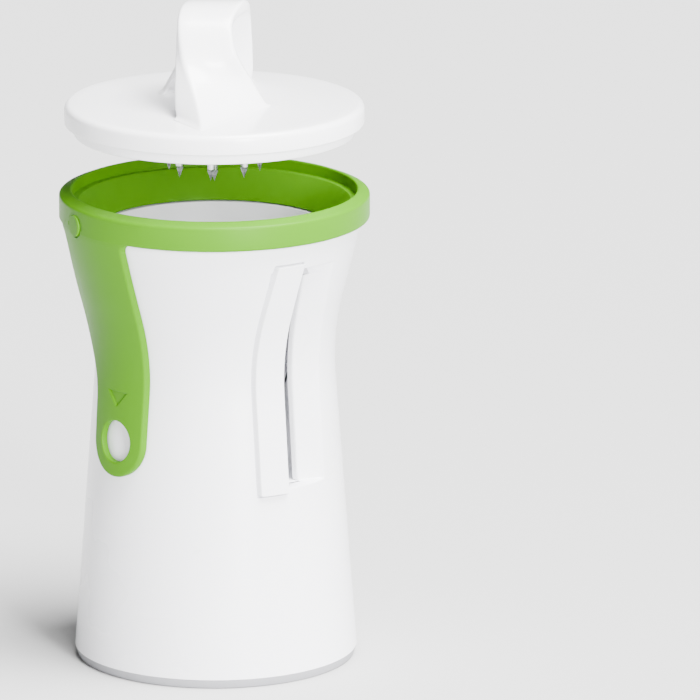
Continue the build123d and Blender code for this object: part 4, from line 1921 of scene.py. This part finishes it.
# ------------------------------------------------------------------ studio
@dataclass
class Studio:
    """Pale floor, soft lights and the camera at the photograph's angle, in metres."""

    camera_azimuth: float = -40.5
    camera_distance: float = 2.692
    camera_height: float = 0.775
    camera_yaw: float = 0.793
    camera_pitch: float = 14.355
    camera_range: Flat = (0.05, 20.0)
    focal_pixels: float = 10066.0
    frame_pixels: float = 700.0
    sensor: float = 36.0
    floor_half: float = 4.0
    floor_tone: float = 0.48
    floor_roughness: float = 0.9
    bright_side: Place = (0.15, -0.9, 0.35)
    dark_strength: float = 0.01
    bright_strength: float = 0.6
    ceiling_turn: float = 18.0
    ceiling_tilt: float = 22.0
    ceiling_spread: float = 40.0
    ceiling_strength: float = 18.0
    side_turn: float = -17.0
    side_distance: float = 1.4
    side_height: float = 0.45
    side_aim: Place = (0.0, 0.0, 0.1)
    side_size: Flat = (0.25, 0.9)
    side_power: float = 62.0

    def build(self) -> None:
        """Make the floor, the lights and the camera."""
        self.floor()
        self.surroundings()
        self.ceiling_light()
        self.side_light()
        self.camera()

    def around(self, turn: float, distance: float, height: float) -> Place:
        """Find a place round the object.

        Args:
            turn: turn from the front, in radians.
            distance: distance from the axis.
            height: height above the floor.

        Returns:
            The place.
        """
        return (math.sin(turn) * distance, -math.cos(turn) * distance, height)

    def floor(self) -> None:
        """Lay a plain pale floor."""
        half = self.floor_half
        corners = [(-half, -half, 0), (half, -half, 0), (half, half, 0), (-half, half, 0)]
        mesh = bpy.data.meshes.new("floor")
        mesh.from_pydata(corners, [], [(0, 1, 2, 3)])
        paint = NodeMaterial("studio_floor")
        tone = (*[self.floor_tone] * 3, 1.0)
        paint.set({"Base Color": tone, "Roughness": self.floor_roughness})
        mesh.materials.append(paint.material)
        set_up("floor", mesh)

    def surroundings(self) -> None:
        """Surround the object with soft white light, brighter from one side."""
        world = bpy.data.worlds.new("studio")
        world.use_nodes = True
        nodes, links = world.node_tree.nodes, world.node_tree.links
        shade = nodes["Background"]
        shade.inputs["Color"].default_value = (1.0, 1.0, 1.0, 1.0)
        coords = nodes.new("ShaderNodeTexCoord")
        along = nodes.new("ShaderNodeVectorMath")
        along.operation = "DOT_PRODUCT"
        along.inputs[1].default_value = Vector(self.bright_side).normalized()
        spread = nodes.new("ShaderNodeMapRange")
        spread.inputs["From Min"].default_value = -1.0
        spread.inputs["To Min"].default_value = self.dark_strength
        spread.inputs["To Max"].default_value = self.bright_strength
        links.new(coords.outputs["Generated"], along.inputs[0])
        links.new(along.outputs["Value"], spread.inputs["Value"])
        links.new(spread.outputs["Result"], shade.inputs["Strength"])
        bpy.context.scene.world = world

    def ceiling_light(self) -> None:
        """Hang a broad light overhead, leaning a little to the front."""
        light = bpy.data.lights.new("ceiling", "SUN")
        light.angle = math.radians(self.ceiling_spread)
        light.energy = self.ceiling_strength
        lamp = set_up("ceiling", light)
        lamp.rotation_euler = (math.radians(self.ceiling_tilt), 0, math.radians(self.ceiling_turn))

    def side_light(self) -> None:
        """Stand a tall soft light beside the camera, for the highlight down the body."""
        light = bpy.data.lights.new("strip", "AREA")
        light.shape = "RECTANGLE"
        light.size, light.size_y = self.side_size
        light.energy = self.side_power
        lamp = set_up("strip", light)
        turn = math.radians(self.side_turn)
        lamp.location = self.around(turn, self.side_distance, self.side_height)
        aim = Vector(self.side_aim) - lamp.location
        lamp.rotation_euler = aim.to_track_quat("-Z", "Y").to_euler()

    def camera(self) -> None:
        """Set the camera as fitted to the photograph, with no shift and no roll."""
        data = bpy.data.cameras.new("camera")
        data.sensor_width = self.sensor
        data.lens = self.focal_pixels / self.frame_pixels * self.sensor
        data.clip_start, data.clip_end = self.camera_range
        camera = set_up("camera", data)
        turn = math.radians(self.camera_azimuth)
        camera.location = self.around(turn, self.camera_distance, self.camera_height)
        pitch, yaw = math.radians(90 - self.camera_pitch), turn - math.radians(self.camera_yaw)
        camera.rotation_euler = (pitch, 0, yaw)
        bpy.context.scene.camera = camera


def main() -> None:
    """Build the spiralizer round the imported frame."""
    logging.basicConfig(level=logging.INFO, format="%(name)s: %(message)s")
    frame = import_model()
    paint = Paintshop()
    finishes = {
        entry["node"]: Finish(entry["material_slot"]) for entry in frame["record"]["subparts"]
    }
    for node, finish in finishes.items():
        paint.dress_node(frame["nodes"][node], finish)
    lid = TwistLid()
    FootRing().build(paint)
    Housing().build(paint)
    CombCartridge().build(paint)
    CollarFrame().build(paint)
    lid.build(paint)
    GuideRing().build(paint, lid)
    PlungerHub().build(paint)
    Studio().build()


if __name__ == "__main__":
    main()
